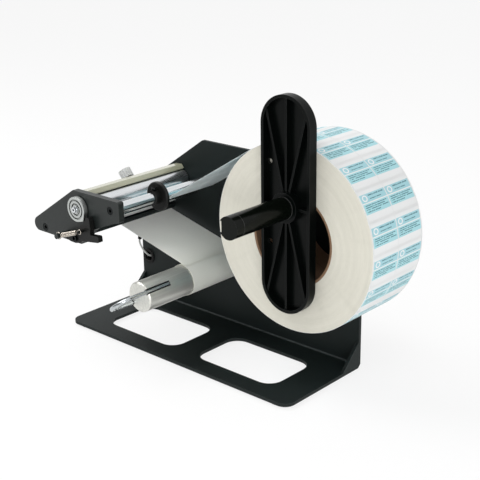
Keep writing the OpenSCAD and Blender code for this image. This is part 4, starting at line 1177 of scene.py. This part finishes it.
@dataclass
class LabelStock(Unit):
    """The roll, its core, the web that leaves it and the labels on both."""

    pitch: float = 25.6 * MM
    label_l: float = 23.8 * MM
    lane_gap: float = 1.2 * MM
    margin: float = 0.9 * MM
    label_t: float = 0.05 * MM
    turn_t: float = 0.1 * MM
    corner: float = 1.6 * MM
    corner_faces: int = 3
    sheet: float = 0.12 * MM
    off: float = 0.3 * MM
    drawn: float = 0.25 * MM
    nose: float = 1.0 * MM
    core_wall: float = 2.3 * MM
    core_soft: float = 0.4 * MM
    spare: float = 0.8 * MM
    phase: float = 0.15
    rings: int = 34
    waver: float = 0.12 * MM
    around: int = 160
    lanes: int = 2
    grid: tuple[int, int] = (3, 16)
    seed: int = 7

    # The web takes this many guides, and the bare backing those from this one on
    WEB_GUIDES, LINER_FROM = 5, 3

    def build(self) -> None:
        """Builds the pieces."""
        self.winding()
        self.core()
        guides = self.guides()
        web, liner = BeltLine(guides[:self.WEB_GUIDES]), BeltLine(guides[self.LINER_FROM:])
        self.strip(web, "web_backing", "web_paper", "label_web")
        self.strip(liner, "bare_backing", "liner_paper", "liner_strip")
        self.labels(web)

    def winding(self) -> None:
        """Wound labels: the cut edges of the turns stand a little uneven."""
        roll, core = Span.of("label_roll"), Span.of("roll_core")
        draw = random.Random(self.seed)
        wall = roll.radius - core.radius
        radii = [core.radius + wall * k / self.rings for k in range(self.rings + 1)]
        near = [(r, roll.lo.y + draw.random() * self.waver) for r in radii]
        far = [(r, roll.hi.y - draw.random() * self.waver) for r in reversed(radii)]
        mesh = Shape().turned(near + far, roll.axis, self.around).mesh("wound_labels")
        self.shop.add(mesh, "wound_labels", "label_paper", ["label_roll"])
        inner, outer = roll.radius - self.turn_t, roll.radius + self.turn_t
        turn = [(inner, roll.lo.y), (outer, roll.lo.y), (outer, roll.hi.y), (inner, roll.hi.y)]
        mesh = Shape().turned(turn, roll.axis, self.around).mesh("outer_turn")
        self.shop.add(mesh, "outer_turn", "label_paper", body="roll", finish="glazed")

    def core(self) -> None:
        """Cardboard core with softened ends."""
        core, roll = Span.of("roll_core"), Span.of("label_roll")
        bore, rim, soft = core.radius - self.core_wall, core.radius, self.core_soft
        lo, hi = core.lo.y, core.hi.y
        profile = [(bore, lo + soft), (bore + soft, lo), (rim - soft, lo), (rim, lo + soft),
                   (rim, hi - soft), (rim - soft, hi), (bore + soft, hi), (bore, hi - soft)]
        mesh = Shape().turned(profile, roll.axis).mesh("cardboard_core", CARD)
        self.shop.add(mesh, "cardboard_core", "cardboard", ["roll_core"])

    def guides(self) -> list[Guide]:
        """What the web and its backing run round, from the roll to the peeling edge and the mandrel.

        Returns:
            The circles in the order of the way.
        """
        off = self.off + self.drawn / 2
        roll, bar, rod, roller, tip = (Span.of(node) for node in (
            "label_roll", "upper_guide_bar", "lower_guide_rod", "pressure_roller", "tip_rod"))
        sheet = Span.of("peel_plate")
        return [
            Guide(*roll.axis, roll.radius + off), Guide(*bar.axis, -bar.radius - off),
            Guide(*rod.axis, rod.radius + off), Guide(*roller.axis, -roller.radius - off),
            Guide(sheet.lo.x + self.nose, sheet.lo.z + self.nose, self.nose + off),
            Guide(*tip.axis, -tip.radius - off),
            Guide(*Span.of("rewind_mandrel").axis, -Span.of("wound_liner").radius - off)]

    def strip(self, way: BeltLine, name: str, slot: str, node: str) -> None:
        """Builds a strip of backing along a way.

        Args:
            way: Way of the strip.
            name: Name of the piece.
            slot: Its material slot.
            node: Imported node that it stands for.
        """
        line = [(p.x, p.y) for p in way.points]
        if node == "liner_strip":
            start = next(i for i, p in enumerate(line) if p[0] < Span.of("tip_rod").lo.x)
            line = line[start:]
        mesh = Shape().ribbon(line, Span.of(node), self.sheet).mesh(name, SOFT)
        self.shop.add(mesh, name, slot, [node])

    def labels(self, web: BeltLine) -> None:
        """Labels on the web, counted from the peeling edge, and on the roll's outer turn.

        Args:
            web: Way of the web.
        """
        roll = Span.of("label_roll")
        on_web, on_roll = Shape(), Shape()
        place = (web.length - self.label_l - self.spare) % self.pitch
        while place + self.label_l < web.length:
            self.row(on_web, lambda s, h, at=place: web.at(web.length - at - s, h + self.sheet / 2))
            place += self.pitch
        step = math.tau / round(math.tau * roll.radius / self.pitch)
        outer = roll.radius + self.turn_t
        for k in range(round(math.tau / step)):
            self.row(on_roll, lambda s, h, at=(k + self.phase) * step: (
                roll.mid.x + (outer + h) * math.cos(at + s / outer),
                roll.mid.z + (outer + h) * math.sin(at + s / outer)))
        for shape, name, slot, body in ((on_web, "web_labels", "web_paper", "frame"),
                                        (on_roll, "roll_labels", "label_paper", "roll")):
            self.shop.add(shape.mesh(name, SOFT), name, slot, body=body, finish="print")

    def row(self, shape: Shape, bend: Callable[[float, float], Point]) -> None:
        """Adds a row of labels with round corners, one to each lane, bent onto their way.

        Args:
            shape: Shape that the labels join.
            bend: Place of a point from its distance along a label and its height.
        """
        strip = Span.of("label_web")
        across = (strip.width - 2 * self.margin - (self.lanes - 1) * self.lane_gap) / self.lanes
        for lane in range(self.lanes):
            near = strip.lo.y + self.margin + lane * (across + self.lane_gap)
            part = self.flat_label(across)
            for vert in part.bm.verts:
                x, z = bend(vert.co.y + self.label_l / 2, vert.co.z)
                vert.co = Vector((x, near + vert.co.x + across / 2, z))
            part.bm.normal_update()
            shape.take(part.outward())

    def flat_label(self, across: float) -> Shape:
        """One label, flat about the middle, with its map.

        Args:
            across: Its width.

        Returns:
            The label.
        """
        part = Shape()
        bm = part.bm
        uv = bm.loops.layers.uv.new("label_map")
        grid = bmesh.ops.create_grid(bm, x_segments=self.grid[0], y_segments=self.grid[1], size=0.5)
        bmesh.ops.scale(bm, vec=(across, self.label_l, 1.0), verts=grid["verts"])
        raised = bmesh.ops.extrude_face_region(bm, geom=bm.faces[:])["geom"]
        bmesh.ops.translate(bm, vec=(0.0, 0.0, self.label_t),
                            verts=[g for g in raised if isinstance(g, bmesh.types.BMVert)])
        corner = Vector((across, self.label_l)) / 2
        corners = [e for e in bm.edges if all(
            abs(abs(v.co[i]) - corner[i]) < Shape.MERGE for v in e.verts for i in (0, 1))]
        bmesh.ops.bevel(bm, geom=corners, offset=self.corner, segments=self.corner_faces, profile=0.5,
                        affect="EDGES", clamp_overlap=True, material=-1)
        part.outward()
        for face in bm.faces:
            for loop in face.loops:
                co = loop.vert.co
                loop[uv].uv = (co.x / across + 0.5, co.y / self.label_l + 0.5)
        return part


@dataclass
class DriveUnit(Unit):
    """Gearmotor, gears, bearing, board and the controls at the back."""

    small: float = 0.2 * MM
    edge: float = 0.4 * MM

    def build(self) -> None:
        """Builds the pieces."""
        self.shop.dress(self.small, "motor_bracket", "motor_screws", "mandrel_bearing", "rewind_gear",
                        "motor_pinion", "circuit_board", "standoffs", "speed_pot")
        self.shop.dress(self.edge, "gearbox", "drive_motor", "board_parts", "dc_inlet", "switch_body",
                        "power_rocker", "speed_knob")


@dataclass(frozen=True)
class Lamp:
    """Soft square lamp aimed at the machine; its size in metres and its power in watts."""

    name: str
    place: Place
    size: float
    watts: float

    AIM: ClassVar[Place] = (0.0, 0.0, 0.1)

    def hang(self) -> None:
        """Adds the lamp to the scene."""
        data = bpy.data.lights.new(self.name, "AREA")
        data.shape = "SQUARE"
        data.size = self.size
        data.energy = self.watts
        lamp = bpy.data.objects.new(self.name, data)
        lamp.location = self.place
        aim = Vector(self.AIM) - Vector(self.place)
        lamp.rotation_euler = aim.to_track_quat("-Z", "Y").to_euler()
        bpy.context.scene.collection.objects.link(lamp)


@dataclass
class Studio:
    """Camera at the photograph's place, white floor, soft lamps and white surroundings."""

    eye: Place = (0.59362, -0.637735, 0.41665)
    yaw: float = math.radians(42.34)
    pitch: float = math.radians(19.42)
    roll: float = math.radians(-0.88)
    focal_px: float = 1047.43
    photo_px: float = 480.0
    sensor: float = 36.0
    clip: Point = (0.01, 20.0)
    floor_size: float = 6.0
    floor_tone: float = 0.93
    floor_rough: float = 0.7
    floor_glow: float = 0.82
    world_light: float = 0.6
    room_dim: float = 0.25
    # Where the surroundings grow dim, and how fast
    dim_y: float = -1.0
    dim_z: float = 0.7
    dim_start: float = 0.25
    dim_slope: float = 1.6
    lamps: tuple[Lamp, ...] = (
        Lamp("key_lamp", (-0.7, -0.35, 1.25), 0.9, 13.0),
        Lamp("fill_lamp", (0.9, -1.1, 0.8), 1.2, 5.0),
        Lamp("side_lamp", (1.2, -0.9, 0.14), 0.6, 7.0))

    def build(self) -> None:
        """Sets up the scene round the machine."""
        self.camera()
        self.floor()
        self.world()
        for lamp in self.lamps:
            lamp.hang()
        bpy.context.scene.view_settings.view_transform = "Standard"

    def camera(self) -> None:
        """Camera fitted to the photograph."""
        data = bpy.data.cameras.new("camera")
        data.sensor_width = self.sensor
        data.lens = self.sensor * self.focal_px / self.photo_px
        data.clip_start, data.clip_end = self.clip
        camera = bpy.data.objects.new("camera", data)
        camera.matrix_world = (
            Matrix.Translation(self.eye) @ Matrix.Rotation(self.yaw, 4, "Z")
            @ Matrix.Rotation(math.pi / 2 - self.pitch, 4, "X") @ Matrix.Rotation(self.roll, 4, "Z"))
        bpy.context.scene.collection.objects.link(camera)
        bpy.context.scene.camera = camera

    @staticmethod
    def rays(paint: Paint) -> tuple[Wire, Wire]:
        """1 where the camera sees a surface itself, and 1 where a reflection shows it, otherwise 0."""
        path = paint.node("ShaderNodeLightPath").socket.node
        return tuple(Wire(paint, path.outputs[name]) for name in ("Is Camera Ray", "Is Glossy Ray"))

    def floor(self) -> None:
        """White floor that keeps the machine's soft shadow."""
        shape = Shape()
        bmesh.ops.create_grid(shape.bm, x_segments=1, y_segments=1, size=self.floor_size / 2)
        floor = bpy.data.objects.new("floor", shape.mesh("floor"))
        bpy.context.scene.collection.objects.link(floor)
        paint = Paint("floor")
        paint.set(Base_Color=(self.floor_tone,) * 3, Roughness=self.floor_rough)
        camera, glossy = self.rays(paint)
        glow = paint.node("ShaderNodeEmission", sockets={"Color": WHITE, "Strength": 1.0})
        mixed = paint.node("ShaderNodeMixShader", sockets={
            0: ((camera + glossy).limited() * self.floor_glow).limited(),
            1: Wire(paint, paint.shader.outputs[0]), 2: glow})
        paint.tree.links.new(mixed.socket, paint.tree.nodes["Material Output"].inputs["Surface"])
        floor.data.materials.append(paint.material)

    def world(self) -> None:
        """White surroundings; in reflections they are dim at the front, as a room is."""
        world = bpy.data.worlds.new("studio")
        bpy.context.scene.world = world
        world.use_nodes = True
        paint = Paint.of_world(world)
        camera, glossy = self.rays(paint)
        _, y, z = paint.parts(paint.place(Paint.GENERATED))
        front = ((y * self.dim_y - z * self.dim_z + self.dim_start) * self.dim_slope).limited()
        mirror = front * (self.room_dim - 1.0) + 1.0
        level = camera + glossy * mirror + (1.0 - camera - glossy) * self.world_light
        paint.set(Color=WHITE, Strength=level)


def machine_finishes() -> dict[str, Finish]:
    """Finish of each material slot, and those that only single pieces wear.

    Returns:
        The finishes by slot.
    """
    roll, disc, mandrel = (
        Span.of(node).axis for node in ("label_roll", "roller_disc", "rewind_mandrel"))
    return {
        # The second colour of a coated steel is its edge colour, worn and given a painted highlight
        "black_paint": CoatedSteel((0.009, 0.0135, 0.013), (0.06, 0.07, 0.07), 0.5, 0.2),
        "plate_grey": CoatedSteel((0.0115, 0.0155, 0.0145), (0.13, 0.14, 0.14), 0.36, 0.36),
        "black_steel": BareMetal((0.018, 0.021, 0.021), 0.32, 0.15),
        "rubber": Moulded((0.008, 0.008, 0.008), 0.7, worn_highlight_share=0.2, shine=0.25),
        "chrome": BareMetal((0.82, 0.85, 0.87), 0.1, 0.12, Grain.ALONG, spread=0.7),
        "nickel": BareMetal((0.72, 0.66, 0.58), 0.16, 0.12),
        "clip_steel": BareMetal((0.66, 0.7, 0.72), 0.14, 0.12, Grain.ALONG, spread=0.5),
        "steel": BareMetal((0.6, 0.6, 0.6), 0.26, 0.16),
        "satin": BareMetal((0.8, 0.82, 0.84), 0.21, 0.15, Grain.ALONG, spread=0.75),
        "aluminium": BareMetal((0.94, 0.94, 0.88), 0.28, 0.3, Grain.ALONG, 0.03 * MM, spread=0.52),
        "disc_metal": BareMetal((0.68, 0.71, 0.69), 0.28, 0.3, Grain.ROUND, 0.04 * MM, disc, 0.6),
        "bronze": BareMetal((0.6, 0.42, 0.22), 0.34, 0.2),
        "brass": BareMetal((0.78, 0.6, 0.3), 0.24, 0.14),
        "cream_plastic": Moulded((0.43, 0.43, 0.31), 0.3, worn_highlight_share=1.2, scatter=0.05, coat=1.0),
        "black_plastic": Moulded((0.006, 0.0065, 0.006), 0.34, worn_highlight_share=0.5, shine=0.2),
        "flange_black": Moulded((0.0015, 0.0024, 0.0021), 0.26, worn_highlight_share=0.35, shine=0.1),
        "tube_black": Moulded((0.002, 0.003, 0.002), 0.16, worn_highlight_share=0.5, shine=0.12),
        "white_plastic": Moulded((0.6, 0.61, 0.6), 0.3, worn_highlight_share=0.8, scatter=0.4),
        "gear_plastic": Moulded((0.72, 0.7, 0.6), 0.36, scatter=0.2),
        "lens_red": Moulded((0.16, 0.012, 0.012), 0.1, coat=0.6),
        "cable_grey": Moulded((0.55, 0.56, 0.55), 0.45),
        "web_paper": Paper((0.86, 0.96, 0.97), 0.5, 0.45, 0.3),
        "liner_paper": Paper((0.96, 0.96, 0.87), 0.5, 0.4, 0.2),
        "label_paper": WoundPaper((0.7, 0.68, 0.6), (0.47, 0.46, 0.39), roll),
        "glazed": Paper((0.8, 0.81, 0.81), 0.34, 0.2, waves=0.03 * MM),
        "cardboard": Board((0.24, 0.14, 0.08), (0.13, 0.075, 0.04), roll),
        "motor_steel": BareMetal((0.5, 0.5, 0.51), 0.26, 0.2, Grain.ROUND, axis=mandrel),
        "board_green": Moulded((0.02, 0.13, 0.06), 0.3, coat=0.4),
        "print": PrintedLabel((0.81, 0.82, 0.82), (0.34, 0.6, 0.66), (0.36, 0.65, 0.7),
                              (0.015, 0.13, 0.16)),
    }


def main() -> None:
    """Builds the machine's looks and its studio."""
    logging.basicConfig(level=logging.INFO, format="%(name)s: %(message)s")
    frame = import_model()
    Studio().build()
    shop = Workshop(frame, machine_finishes())
    for unit in (FrameShell, PeelingHead, ReleaseLever, SensorUnit, RewindUnit, SpindleUnit,
                 LabelStock, DriveUnit):
        LOG.info("building %s", unit.__name__)
        unit(shop).build()


if __name__ == "__main__":
    main()
